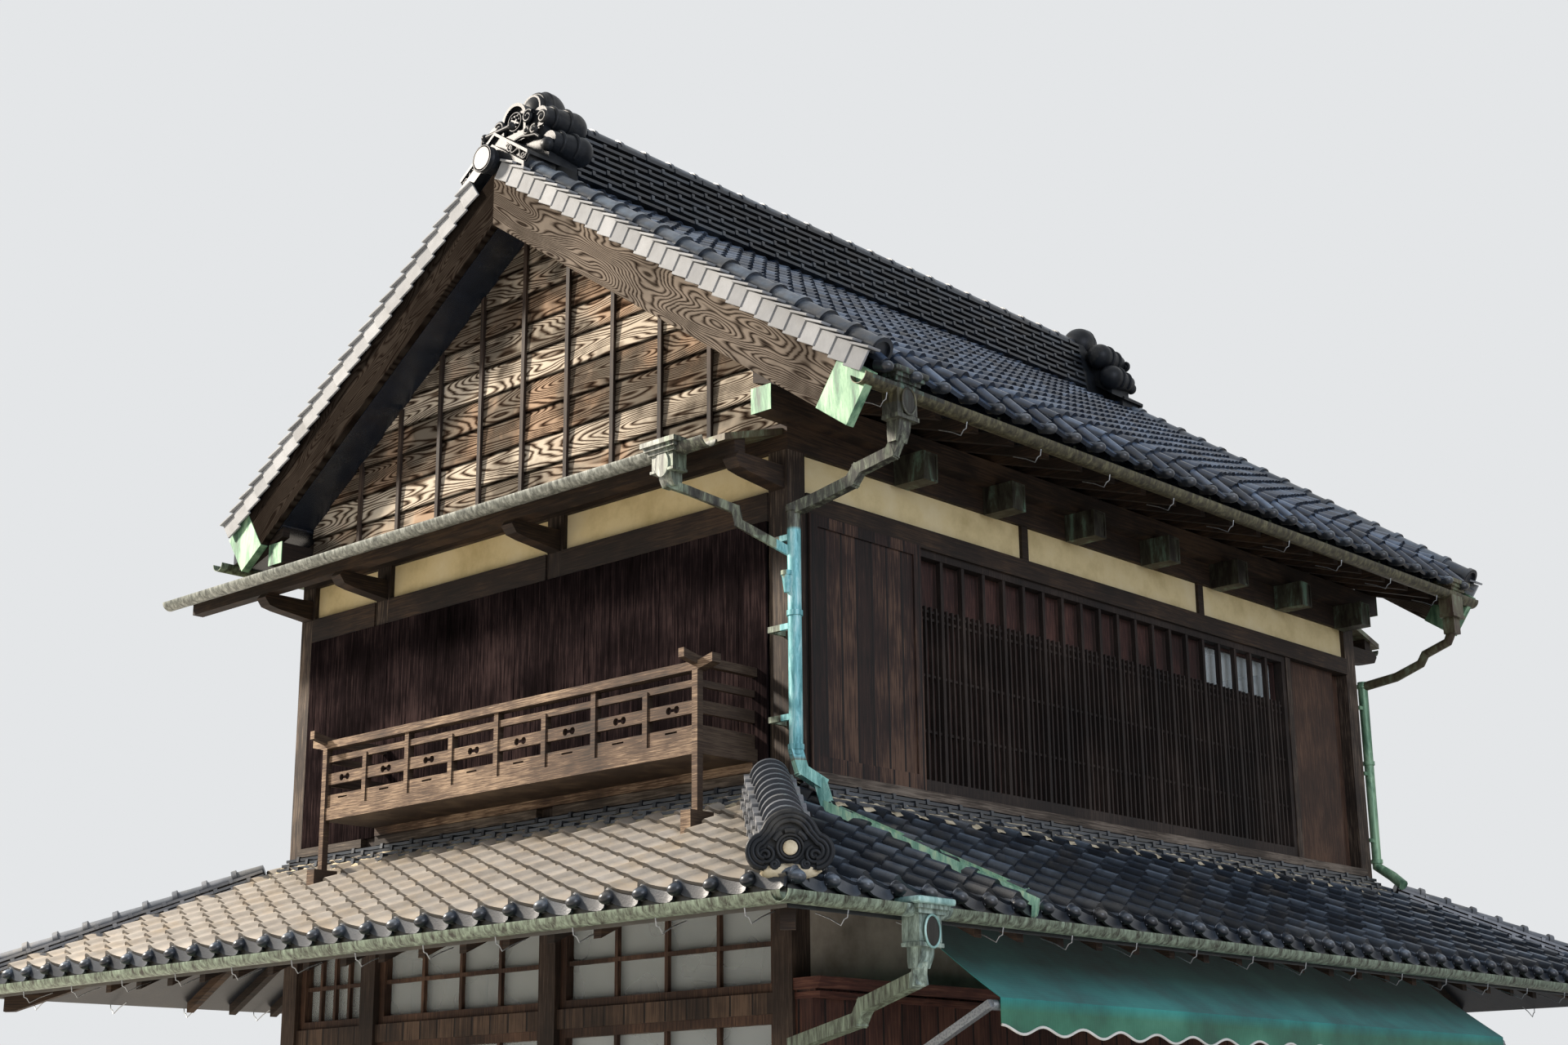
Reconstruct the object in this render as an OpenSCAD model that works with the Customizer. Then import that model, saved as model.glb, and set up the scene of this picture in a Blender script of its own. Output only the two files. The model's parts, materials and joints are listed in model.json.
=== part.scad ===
// Two-storey timber townhouse with a tall tiled ridge and a tiled skirt roof.
// The corner of the two street fronts stands at the origin, with the ground at z = 0.
// The long lattice front faces -Y, the near gable faces -X and +Z is up.

/* [House] */
// Length of the lattice front, outside of post to outside of post
house_w = 5700; // [5000:10:7200]
// Depth of the house along the gable, outside of post to outside of post
house_d = 4120; // [3700:10:4800]
// Side of a square post
post_w = 130; // [100:5:160]
// Height of the stone plinth above the ground
plinth_h = 150; // [100:10:250]
// How far the plinth stands out from the posts
plinth_out = 40; // [10:5:80]
// Thickness of boarding and plaster panels
panel_t = 35; // [20:5:50]
// Clearance between pieces that seat side by side
seat_gap = 0.3; // [0.1:0.1:1]

/* [Ground storey] */
// Underside of the head beam over the shop doors
door_head_z = 1980; // [1850:10:2150]
// Underside of the beams that carry the upper storey
ground_beam_z = 2900; // [2700:10:3000]
// Height of the beams that carry the upper storey
ground_beam_h = 230; // [180:10:300]
// Depth of the head beam over the shop doors
head_beam_h = 150; // [100:10:200]
// Bottom of the plaster panel over the shop front
shop_plaster_z = 2480; // [2350:10:2600]
// How far the boarded fascia stands out
fascia_out = 130; // [60:5:200]
// Width of the boarded panels beside the corner posts
side_panel_w = 300; // [200:10:500]
// Height of the boarding under the side windows
dado_h = 900; // [600:10:1200]

/* [Upper storey] */
// Top of the pale sill board
sill_top_z = 3490; // [3400:5:3600]
// Thickness of the pale sill board
sill_t = 50; // [30:5:80]
// How far the pale sill board stands out
sill_out = 40; // [10:5:80]
// Bottom of the lattice
lattice_z0 = 3560; // [3520:5:3700]
// Top of the lattice
lattice_z1 = 4805; // [4600:5:4900]
// Bottom of the plaster strip
plaster_z0 = 4915; // [4850:5:5000]
// Top of the plaster strip
plaster_z1 = 5122; // [5050:5:5200]
// Height of the wall plate on top of the plaster
plate_h = 142; // [100:2:200]
// Distance between the studs in the plaster strip
bay_w = 1818; // [1500:1:2000]
// Width of a stud in the plaster strip
stud_w = 60; // [40:5:90]
// Width of the shutter box beside the near corner post
shutter_w = 880; // [800:5:1000]
// Width of the reed screen at the far end of the lattice front
screen_w = 605; // [500:5:700]
// Width of the dark jamb between the reed screen and the far corner post
jamb_w = 130; // [80:5:180]

/* [Lattice] */
// Number of spaces between the full-height bars
lattice_bays = 20; // [14:1:26]
// Thin bars between two full-height bars
child_bars = 3; // [1:1:4]
// Width of a full-height bar
parent_w = 24; // [18:1:30]
// Width of a thin bar
child_w = 12; // [8:1:16]
// Depth of the bars
bar_d = 30; // [20:1:40]
// How far the thin bars stop below the head
child_drop = 265; // [150:5:400]

/* [Roof] */
// Rise of the roof for each unit of run
roof_slope = 0.69; // [0.6:0.01:0.8]
// Tiled surface of the roof over the lattice front
roof_wall_z = 5889; // [5800:1:6000]
// How far the line of the ridge stands back from the middle of the house
ridge_shift = 0; // [-150:10:150]
// Front eave beyond the posts
front_eave = 690; // [500:10:900]
// Back eave beyond the posts
back_eave = 470; // [400:10:600]
// Overhang of the roof at the gables
verge_out = 260; // [180:10:400]
// Depth of the bargeboards, measured upright
barge_h = 335; // [250:5:420]
// Thickness of the bargeboards
barge_t = 45; // [30:5:70]
// Rise of the open rafters under the eaves for each unit of run
rafter_slope = 0.3; // [0.2:0.01:0.4]
// Height of a rafter
rafter_h = 60; // [45:5:80]
// Width of a rafter
rafter_w = 50; // [40:5:70]
// Spacing of the rafters
rafter_pitch = 300; // [240:10:400]
// Columns of roof tiles from verge to verge, each with a round roll
tile_columns = 28; // [22:1:34]
// Height of the rolls above the slabs
roll_h = 36; // [25:1:45]
// Height of the ridge stack without its cap tiles
ridge_h = 370; // [300:10:520]
// Number of flat tile courses in the ridge stack
ridge_courses = 8; // [5:1:10]
// Width of the ridge stack at its foot
ridge_w = 300; // [240:10:400]
// Radius of the round cap tiles
cap_r = 75; // [60:5:90]

/* [Skirt roof] */
// Reach of the skirt roof beyond the long fronts
skirt_front = 1132; // [900:1:1400]
// Reach of the skirt roof beyond the gables
skirt_side = 1255; // [900:1:1400]
// Tiled surface of the skirt roof at its eave
skirt_eave_z = 2738; // [2650:1:2850]
// Tiled surface of the skirt roof at the wall
skirt_wall_z = 3340; // [3250:10:3400]
// Thickness of the skirt roof, measured upright
skirt_t = 110; // [80:5:150]
// Stack of flat tiles where the skirt roof meets the wall
flashing_h = 130; // [80:5:160]

/* [Pent eaves] */
// Reach of the thin copper roofs on the gables
pent_out = 400; // [250:10:500]
// Height of their gutter
pent_gutter_z = 5095; // [5000:5:5200]
// How far they run on past the back corner
pent_past = 760; // [200:10:900]
// Thickness of the copper-covered boards
pent_t = 35; // [25:5:50]

/* [Balcony] */
// Reach of the balcony from the wall
balcony_out = 430; // [350:10:600]
// Near end of the balcony, back from the lattice front
balcony_y0 = 200; // [150:10:400]
// Length of the balcony
balcony_len = 3020; // [2500:10:3050]
// Top of the balcony floor
balcony_floor_z = 3605; // [3540:5:3640]
// Height of the handrail above the balcony floor
rail_h = 385; // [300:5:450]
// Width of a balcony post
rail_post_w = 38; // [34:2:80]

/* [Water] */
// Outer radius of the upper gutters
gutter_r = 50; // [40:2:60]
// Wall thickness of the gutters
gutter_t = 4; // [2:1:6]
// Radius of the downpipes
pipe_r = 34; // [25:1:45]

/* [Awning] */
// Distance of the awning from each end of the lattice front
awning_inset = 340; // [200:10:600]
// How far the front bar stands out
awning_out = 940; // [700:10:1000]
// Height of the front bar
awning_z = 2325; // [2250:5:2400]
// Drop of the scalloped valance
valance_h = 135; // [80:5:180]

/* [Hidden] */

$fn = 48;

ground_z = plinth_h;
upper_z = ground_beam_z + ground_beam_h;
plate_z = plaster_z1;
plate_top = plate_z + plate_h;
sill_z = sill_top_z - sill_t;
apex_y = house_d / 2 + ridge_shift;
roof_apex_z = roof_wall_z + roof_slope * apex_y;
lattice_x0 = post_w + shutter_w;
lattice_x1 = house_w - post_w - jamb_w - screen_w - stud_w;
screen_x1 = house_w - post_w - jamb_w;
balcony_y1 = balcony_y0 + balcony_len;
awning_x0 = awning_inset;
awning_x1 = house_w - awning_inset;
shop_fascia_z0 = door_head_z + head_beam_h;

// The studs of the plaster strip and the front posts under them share these lines
stud_x2 = house_w - post_w / 2 - bay_w;
stud_x1 = stud_x2 - bay_w;

// Side posts: corner, two between and corner
side_y = [post_w / 2, 1755 / 4120 * house_d, 3300 / 4120 * house_d, house_d - post_w / 2];

purlin_w = 130;
purlin_h = 130;
purlin_y = -86;
beam_end_out = 200;
beam_end_h = 127;
beam_end_w = 120;

barge_apex_top = roof_apex_z - 80;
barge_apex_low = barge_apex_top - barge_h;

function run_from_ridge(y) = abs(y - apex_y);
function roof_z(y) = roof_apex_z - roof_slope * run_from_ridge(y);
function barge_low_z(y) = barge_apex_low - roof_slope * run_from_ridge(y);

module block(x0, x1, y0, y1, z0, z1) {
    translate([x0, y0, z0])
        cube([x1 - x0, y1 - y0, z1 - z0]);
}

// A profile drawn as (y, z) points and run along x
module run_x(x0, x1, points) {
    translate([x0, 0, 0])
        rotate([90, 0, 90])
            linear_extrude(x1 - x0)
                polygon(points);
}

// A profile drawn as (x, z) points and run along y
module run_y(y0, y1, points) {
    translate([0, y1, 0])
        rotate([90, 0, 0])
            linear_extrude(y1 - y0)
                polygon(points);
}

module both_gables() {
    children();
    translate([house_w, 0, 0])
        mirror([1, 0, 0])
            children();
}

module front_and_back() {
    children();
    translate([0, house_d, 0])
        mirror([0, 1, 0])
            children();
}

module stone_plinth() {
    color("#8d8a84")
        block(-plinth_out, house_w + plinth_out, -plinth_out, house_d + plinth_out, 0, plinth_h);
}

module post_at(x, y, z0, z1) {
    translate([x - post_w / 2, y - post_w / 2, z0])
        cube([post_w, post_w, z1 - z0]);
}

// Four posts on each gable and two between on each long front
module posts(z0, z1, front_between) {
    both_gables()
        for (y = side_y)
            post_at(post_w / 2, y, z0, z1);
    for (x = [stud_x1, stud_x2]) {
        post_at(x, house_d - post_w / 2, z0, z1);
        if (front_between)
            post_at(x, post_w / 2, z0, z1);
    }
}

module ground_posts() {
    color("#4a372a")
        posts(ground_z, ground_beam_z, true);
}

// Long beams front and back, short beams between them on the gables
module beam_ring(z0, z1, wide) {
    front_and_back()
        block(0, house_w, 0, wide, z0, z1);
    both_gables()
        block(0, wide, wide + seat_gap, house_d - wide - seat_gap, z0, z1);
}

// The bays of the shop front, between one post and the next
shop_bays = [
    [post_w, stud_x1 - post_w / 2],
    [stud_x1 + post_w / 2, stud_x2 - post_w / 2],
    [stud_x2 + post_w / 2, house_w - post_w]];

// The ring of beams that carries the upper storey, and the head beams over the shop doors
module ground_beams() {
    color("#4a372a") {
        beam_ring(ground_beam_z, upper_z, post_w);
        for (bay = shop_bays)
            block(bay[0] + seat_gap, bay[1] - seat_gap, 10, post_w - 10, door_head_z, shop_fascia_z0);
    }
}

// A glazed door leaf: a frame with a solid lower panel and upright bars
module door_leaf(w, h) {
    stile = 55;
    leaf_t = 36;
    panel_h = 420;
    bars = 5;
    difference() {
        cube([w, leaf_t, h]);
        translate([stile, -1, panel_h])
            cube([w - 2 * stile, leaf_t + 2, h - panel_h - stile]);
    }
    for (i = [1:bars])
        translate([stile + (w - 2 * stile) * i / (bars + 1) - 7, leaf_t / 2 - 9, panel_h])
            cube([14, 18, h - panel_h - stile]);
    translate([stile, 10, 60])
        cube([w - 2 * stile, leaf_t - 20, panel_h - 60]);
}

// Each bay has two leaves that slide past each other; the middle bay stands half open
door_track = [25, 65];
module shop_doors() {
    leaf_h = door_head_z - ground_z - 2 * seat_gap;
    color("#6b4a35")
        for (i = [0:2]) {
            x0 = i == 0 ? post_w + side_panel_w + seat_gap : shop_bays[i][0] + seat_gap;
            x1 = i == 2 ? house_w - post_w - side_panel_w - seat_gap : shop_bays[i][1] - seat_gap;
            w = (x1 - x0) / 2 + 20;
            translate([x0, door_track[0], ground_z + seat_gap])
                door_leaf(w, leaf_h);
            translate([i == 1 ? x0 : x1 - w, door_track[1], ground_z + seat_gap])
                door_leaf(w, leaf_h);
        }
}

module shop_plaster() {
    color("#d8cfb8")
        for (bay = shop_bays)
            block(bay[0] + seat_gap, bay[1] - seat_gap, 30, 30 + panel_t * 2, shop_fascia_z0 + seat_gap,
                ground_beam_z - seat_gap);
}

// Boarded box across the shop front with a stepped cornice
module shop_fascia() {
    top = shop_plaster_z;
    foot = shop_fascia_z0;
    color("#7a4a3c")
        run_x(20, house_w - 20, [
            [-seat_gap, foot], [-fascia_out + 20, foot], [-fascia_out + 20, top - 60],
            [-fascia_out, top - 60], [-fascia_out, top - 30], [-fascia_out - 18, top - 30],
            [-fascia_out - 18, top], [-seat_gap, top]]);
}

side_bays = [for (i = [0:2]) [side_y[i] + post_w / 2, side_y[i + 1] - post_w / 2]];
back_bays = [
    [post_w, stud_x1 - post_w / 2],
    [stud_x1 + post_w / 2, stud_x2 - post_w / 2],
    [stud_x2 + post_w / 2, house_w - post_w]];
side_rail_z = 2330;
side_rail_h = 100;

// Boarding under the side windows and a rail over them, the boarded back wall and
// the panels beside the corner posts of the shop
module ground_walls() {
    color("#5b4636") {
        both_gables()
            for (bay = side_bays) {
                block(40, 40 + panel_t, bay[0] + seat_gap, bay[1] - seat_gap, ground_z, ground_z + dado_h);
                block(20, post_w - 20, bay[0] + seat_gap, bay[1] - seat_gap, side_rail_z,
                    side_rail_z + side_rail_h);
            }
        for (bay = back_bays)
            block(bay[0] + seat_gap, bay[1] - seat_gap, house_d - 40 - panel_t, house_d - 40, ground_z,
                ground_beam_z);
        both_gables()
            block(post_w + seat_gap, post_w + side_panel_w, 40, 40 + panel_t, ground_z, door_head_z);
    }
}

// A window frame with two sashes and their glazing bars, fused as one piece
module window_frame(w, h, t, cols, rows) {
    rim = 45;
    bar = 22;
    difference() {
        cube([w, t, h]);
        translate([rim, -1, rim])
            cube([w - 2 * rim, t + 2, h - 2 * rim]);
    }
    for (i = [1:cols - 1])
        translate([rim + (w - 2 * rim) * i / cols - bar / 2, t / 4, rim])
            cube([bar, t / 2, h - 2 * rim]);
    for (i = [1:rows - 1])
        translate([rim, t / 4, rim + (h - 2 * rim) * i / rows - bar / 2])
            cube([w - 2 * rim, t / 2, bar]);
}

module side_windows() {
    window_t = 50;
    low_z = ground_z + dado_h + seat_gap;
    high_z = side_rail_z + side_rail_h + seat_gap;
    color("#4a372a")
        both_gables()
            for (bay = side_bays) {
                w = bay[1] - bay[0] - 2 * seat_gap;
                translate([40 + window_t, bay[0] + seat_gap, low_z])
                    rotate([0, 0, 90])
                        window_frame(w, side_rail_z - low_z - seat_gap, window_t, 4, 3);
                translate([40 + window_t, bay[0] + seat_gap, high_z])
                    rotate([0, 0, 90])
                        window_frame(w, ground_beam_z - high_z - seat_gap, window_t, 4, 2);
            }
}

// Sheets of glass seated on the back of the side windows and of the glazed leaf upstairs
glass_t = 6;
module window_glass() {
    low_z = ground_z + dado_h;
    high_z = side_rail_z + side_rail_h;
    leaf_w = (lattice_x1 - lattice_x0) / sash_count;
    color("#a9bcc0", 0.35) {
        both_gables()
            for (bay = side_bays) {
                block(90 + seat_gap, 90 + seat_gap + glass_t, bay[0] + 20, bay[1] - 20, low_z + 20,
                    side_rail_z - 20);
                block(90 + seat_gap, 90 + seat_gap + glass_t, bay[0] + 20, bay[1] - 20, high_z + 20,
                    ground_beam_z - 20);
            }
        block(lattice_x1 - leaf_w + 20, lattice_x1 - 20, 100 + seat_gap, 100 + seat_gap + glass_t,
            sill_top_z + 25, lattice_z1 - 25);
    }
}

// Skirt roof: four slopes that meet at the hips
skirt_low_z = skirt_wall_z - skirt_t;
skirt_lip_z = skirt_eave_z - skirt_t;

// One slope over a long front, cut back to the hips at both ends
module skirt_slope(length, out, end_out) {
    hip_gap = 1;
    intersection() {
        run_x(-end_out, length + end_out, [
            [0, skirt_wall_z], [0, skirt_low_z], [-out, skirt_lip_z], [-out, skirt_eave_z]]);
        translate([0, 0, skirt_lip_z - 10])
            linear_extrude(skirt_wall_z - skirt_lip_z + 20)
                polygon([
                    [hip_gap, 0], [length - hip_gap, 0],
                    [length + end_out - hip_gap, -out - 1], [-end_out + hip_gap, -out - 1]]);
    }
}

module skirt_roof_front() {
    color("#4b5562")
        skirt_slope(house_w, skirt_front, skirt_side);
}

module skirt_roof_back() {
    color("#4b5562")
        translate([0, house_d, 0])
            mirror([0, 1, 0])
                skirt_slope(house_w, skirt_front, skirt_side);
}

module skirt_roof_near() {
    color("#4b5562")
        translate([0, house_d, 0])
            rotate([0, 0, -90])
                skirt_slope(house_d, skirt_side, skirt_front);
}

module skirt_roof_far() {
    color("#4b5562")
        translate([house_w, 0, 0])
            rotate([0, 0, 90])
                skirt_slope(house_d, skirt_side, skirt_front);
}

// Rafters under a skirt slope, from the beam to the eave
module skirt_rafter_row(length, out) {
    slope = (skirt_wall_z - skirt_eave_z) / out;
    top = skirt_low_z - seat_gap;
    reach = out - 60;
    count = floor((length - 120) / rafter_pitch);
    for (i = [0:count])
        translate([60 + i * (length - 120) / count - rafter_w / 2, 0, 0])
            run_x(0, rafter_w, [
                [-seat_gap, top], [-seat_gap, top - rafter_h],
                [-reach, top - rafter_h - slope * reach], [-reach, top - slope * reach]]);
}

// A rafter under a hip, from the corner post to the corner of the eave
module hip_rafter() {
    w = 64;
    h = 95;
    fall = tan(hip_pitch);
    top = skirt_low_z - max(fall_front, fall_side) / cos(hip_pitch) * w / 2 - seat_gap;
    start = 45;
    stop = hip_run - 85;
    rotate([0, 0, 180 + hip_angle])
        run_y(-w / 2, w / 2, [
            [start, top - fall * start], [stop, top - fall * stop], [stop, top - fall * stop - h],
            [stop - 60, top - fall * (stop - 60) - h - 20], [start, top - fall * start - h - 20]]);
}

module skirt_rafters() {
    color("#4a372a") {
        both_gables()
            front_and_back()
                hip_rafter();
        front_and_back()
            skirt_rafter_row(house_w, skirt_front);
        translate([0, house_d, 0])
            rotate([0, 0, -90])
                skirt_rafter_row(house_d, skirt_side);
        translate([house_w, 0, 0])
            rotate([0, 0, 90])
                skirt_rafter_row(house_d, skirt_side);
    }
}

// Stepped courses of flat tiles on the skirt roof along a wall
flashing_steps = 4;
flashing_out = 150;
module flashing_run(length, out) {
    slope = (skirt_wall_z - skirt_eave_z) / out;
    step_h = flashing_h / flashing_steps;
    step_y = (flashing_out - 45) / (flashing_steps - 1);
    foot = skirt_wall_z + seat_gap;
    top = sill_z - seat_gap;
    stairs = [for (i = [0:flashing_steps - 1]) each [
        [-45 - step_y * (flashing_steps - 1 - i), top - flashing_h + step_h * i],
        [-45 - step_y * (flashing_steps - 1 - i), top - flashing_h + step_h * (i + 1)]]];
    run_x(40, length - 40, concat(
        [[-seat_gap, foot]],
        [[-flashing_out, foot - slope * flashing_out]],
        stairs,
        [[-seat_gap, top]]));
}

module flashing_courses() {
    color("#5d6570") {
        front_and_back()
            flashing_run(house_w, skirt_front);
        translate([0, house_d, 0])
            rotate([0, 0, -90])
                flashing_run(house_d, skirt_side);
        translate([house_w, 0, 0])
            rotate([0, 0, 90])
                flashing_run(house_d, skirt_side);
    }
}

// A hip ridge: courses of flat tiles under a round cap, laid down the corner of the skirt roof
hip_angle = atan2(skirt_front, skirt_side);
hip_run = sqrt(skirt_front * skirt_front + skirt_side * skirt_side);
hip_pitch = atan2(skirt_wall_z - skirt_eave_z, hip_run);
hip_len = hip_run / cos(hip_pitch);
hip_courses = 3;

// How fast each slope falls away beside the hip, in the tilted frame of the hip
hip_rise = skirt_wall_z - skirt_eave_z;
fall_front = hip_rise / skirt_front * skirt_side / hip_run * cos(hip_pitch);
fall_side = hip_rise / skirt_side * skirt_front / hip_run * cos(hip_pitch);

module hip_profile(h, half_w, r) {
    course = h / hip_courses;
    polygon(concat(
        [[0, seat_gap], [-half_w, seat_gap - fall_side * half_w]],
        [for (i = [0:hip_courses - 1]) each [
            [-half_w + i * 14, course * i], [-half_w + i * 14, course * (i + 1)]]],
        [for (i = [hip_courses - 1:-1:0]) each [
            [half_w - i * 14, course * (i + 1)], [half_w - i * 14, course * i]]],
        [[half_w, seat_gap - fall_front * half_w]]));
    if (r > 0)
        translate([0, h])
            circle(r);
}

module along_hip() {
    rotate([0, 0, 180 + hip_angle])
        translate([0, 0, skirt_wall_z])
            rotate([0, hip_pitch, 0])
                children();
}

module hip_body(start, end, h, half_w, r) {
    translate([start, 0, 0])
        rotate([90, 0, 90])
            linear_extrude(end - start)
                hip_profile(h, half_w, r);
}

// The near hip stands a little askew: it turns towards the gable as it climbs
hip_lean = 4.5;
hip_pivot = 1500;
module near_turn() {
    rotate([0, 0, 180 + hip_angle])
        translate([hip_pivot, 0, 0])
            rotate([0, 0, hip_lean])
                translate([-hip_pivot, 0, 0])
                    children();
}

// Takes away what lies inside the two slopes or the flat-tile courses at the foot of the wall
module above_skirt() {
    reach = 400;
    top = skirt_wall_z + seat_gap;
    difference() {
        children();
        intersection() {
            run_x(-skirt_side - reach, reach, [
                [-skirt_front - reach, top - skirt_front_slope * (skirt_front + reach)],
                [reach, top + skirt_front_slope * reach], [reach, 1000], [-skirt_front - reach, 1000]]);
            run_y(-skirt_front - reach, reach, [
                [-skirt_side - reach, top - skirt_side_slope * (skirt_side + reach)],
                [reach, top + skirt_side_slope * reach], [reach, 1000], [-skirt_side - reach, 1000]]);
        }
        block(-flashing_out - seat_gap, reach, -flashing_out - seat_gap, reach, 1000, top + 900);
    }
}

module near_hip_body(start, end, h, half_w, r) {
    course = h / hip_courses;
    above_skirt()
        near_turn()
            translate([0, 0, skirt_wall_z])
                rotate([0, hip_pitch, 0])
                    translate([start, 0, 0])
                        rotate([90, 0, 90])
                            linear_extrude(end - start) {
                                translate([-half_w, -160])
                                    square([2 * half_w, course + 160]);
                                for (i = [1:hip_courses - 1])
                                    translate([-half_w + i * 14, course * i - 1])
                                        square([2 * (half_w - i * 14), course + 1]);
                                if (r > 0)
                                    translate([0, h])
                                        circle(r);
                            }
}

hip_start = 130;
near_hip_start = 40;
hip_h = 142;
hip_half = 134;
hip_cap_r = 84;
hip_stop = hip_len - 185;
module hip_ridges() {
    color("#5d6570") {
        near_hip_body(near_hip_start, hip_stop, hip_h, hip_half, hip_cap_r);
        translate([house_w, 0, 0])
            mirror([1, 0, 0])
                along_hip()
                    hip_body(hip_start, hip_len - 40, 62, 85, 55);
        translate([0, house_d, 0])
            mirror([0, 1, 0]) {
                along_hip()
                    hip_body(hip_start, hip_len - 40, 62, 85, 55);
                translate([house_w, 0, 0])
                    mirror([1, 0, 0])
                        along_hip()
                            hip_body(hip_start, hip_len - 40, 62, 85, 55);
            }
    }
}

// Three-lobed cloud tile that closes the near hip, upright and facing down the corner
hip_tile_t = 70;
module cloud_outline(r) {
    translate([0, r * 1.04])
        circle(r);
    for (s = [-1, 1])
        translate([s * r * 0.885, r * 0.615])
            circle(r * 0.63);
    translate([-r * 0.8, 0])
        square([r * 1.6, r * 0.5]);
}

module hip_end_tile() {
    r = 118;
    lean = (hip_h + hip_cap_r) * sin(hip_pitch) + 1;
    foot = skirt_wall_z - (hip_stop + 90) * sin(hip_pitch) + 15;
    near_hip_body(hip_stop + seat_gap, hip_stop + 130, 30, 80, 0);
    near_turn()
        translate([hip_stop * cos(hip_pitch) + lean, 0, foot]) {
            rotate([90, 0, 90])
                linear_extrude(hip_tile_t)
                    cloud_outline(r);
            translate([hip_tile_t - 1, 0, r * 0.72]) {
                rotate([0, 90, 0])
                    cylinder(h = 14, r = r * 0.46);
                rotate([0, 90, 0])
                    cylinder(h = 22, r = r * 0.26);
            }
        }
}

module upper_floor() {
    floor_t = 120;
    color("#7d644c")
        block(post_w + seat_gap, house_w - post_w - seat_gap, post_w + seat_gap,
            house_d - post_w - seat_gap, upper_z - floor_t, upper_z);
}

module upper_posts() {
    color("#3f2f25") {
        posts(upper_z, plate_z, false);
        block(lattice_x1 + seat_gap, lattice_x1 + stud_w, 0, post_w, sill_top_z + seat_gap,
            lattice_z1 - seat_gap);
    }
}

// Boarding between the posts: a band behind the flashing, and walls above the sill
// on the gables and at the back
module upper_walls() {
    color("#4b3329") {
        block(post_w + seat_gap, house_w - post_w - seat_gap, 0, panel_t, upper_z, sill_z);
        for (bay = back_bays) {
            block(bay[0] + seat_gap, bay[1] - seat_gap, house_d - panel_t, house_d, upper_z, sill_z);
            block(bay[0] + seat_gap, bay[1] - seat_gap, house_d - 40 - panel_t, house_d - 40,
                sill_top_z, lattice_z1);
        }
        both_gables()
            for (bay = side_bays) {
                block(0, panel_t, bay[0] + seat_gap, bay[1] - seat_gap, upper_z, sill_z);
                block(40, 40 + panel_t, bay[0] + seat_gap, bay[1] - seat_gap, sill_top_z,
                    lattice_z1 - 40);
            }
    }
}

module sill_boards() {
    color("#8a8178") {
        block(post_w + seat_gap, house_w - post_w - seat_gap, -sill_out, post_w, sill_z, sill_top_z);
        for (bay = back_bays)
            block(bay[0] + seat_gap, bay[1] - seat_gap, house_d - post_w, house_d + sill_out, sill_z,
                sill_top_z);
        both_gables()
            for (bay = side_bays)
                block(-sill_out, post_w, bay[0] + seat_gap, bay[1] - seat_gap, sill_z, sill_top_z);
    }
}

module head_beams() {
    color("#3f2f25") {
        block(post_w + seat_gap, house_w - post_w - seat_gap, -12, post_w - 20, lattice_z1,
            plaster_z0);
        for (bay = back_bays)
            block(bay[0] + seat_gap, bay[1] - seat_gap, house_d - post_w + 20, house_d + 12,
                lattice_z1, plaster_z0);
        both_gables()
            for (bay = side_bays)
                block(-12, post_w - 20, bay[0] + seat_gap, bay[1] - seat_gap, lattice_z1 - 40,
                    plaster_z0);
    }
}

front_strips = [
    [post_w, stud_x1 - stud_w / 2],
    [stud_x1 + stud_w / 2, stud_x2 - stud_w / 2],
    [stud_x2 + stud_w / 2, house_w - post_w]];

module plaster_strips() {
    color("#dcd3bb") {
        for (bay = front_strips)
            block(bay[0] + seat_gap, bay[1] - seat_gap, 30, 30 + panel_t * 2, plaster_z0, plaster_z1);
        for (bay = back_bays)
            block(bay[0] + seat_gap, bay[1] - seat_gap, house_d - 30 - panel_t * 2, house_d - 30,
                plaster_z0, plaster_z1);
        both_gables()
            for (bay = side_bays)
                block(30, 30 + panel_t * 2, bay[0] + seat_gap, bay[1] - seat_gap, plaster_z0,
                    plaster_z1);
    }
}

// Wall plates, with the short studs that divide the front plaster strip
module wall_plates() {
    color("#3f2f25") {
        beam_ring(plate_z, plate_top, post_w);
        for (x = [stud_x1, stud_x2])
            block(x - stud_w / 2, x + stud_w / 2, 10, post_w - 20, plaster_z0 + seat_gap, plate_z);
    }
}

// Shallow cupboard that holds the sliding shutters, with a frame round its boards
module shutter_box() {
    x0 = post_w + seat_gap;
    x1 = lattice_x0 - seat_gap;
    rim = 60;
    color("#4b3329")
        difference() {
            block(x0, x1, -30, 90, sill_top_z, lattice_z1);
            block(x0 + rim, x1 - rim, -31, -18, sill_top_z + rim + 20, lattice_z1 - rim);
            block(x0 + 25, x1 + 1, 20, 70, sill_top_z + 30, lattice_z1 - 30);
        }
}

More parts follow.
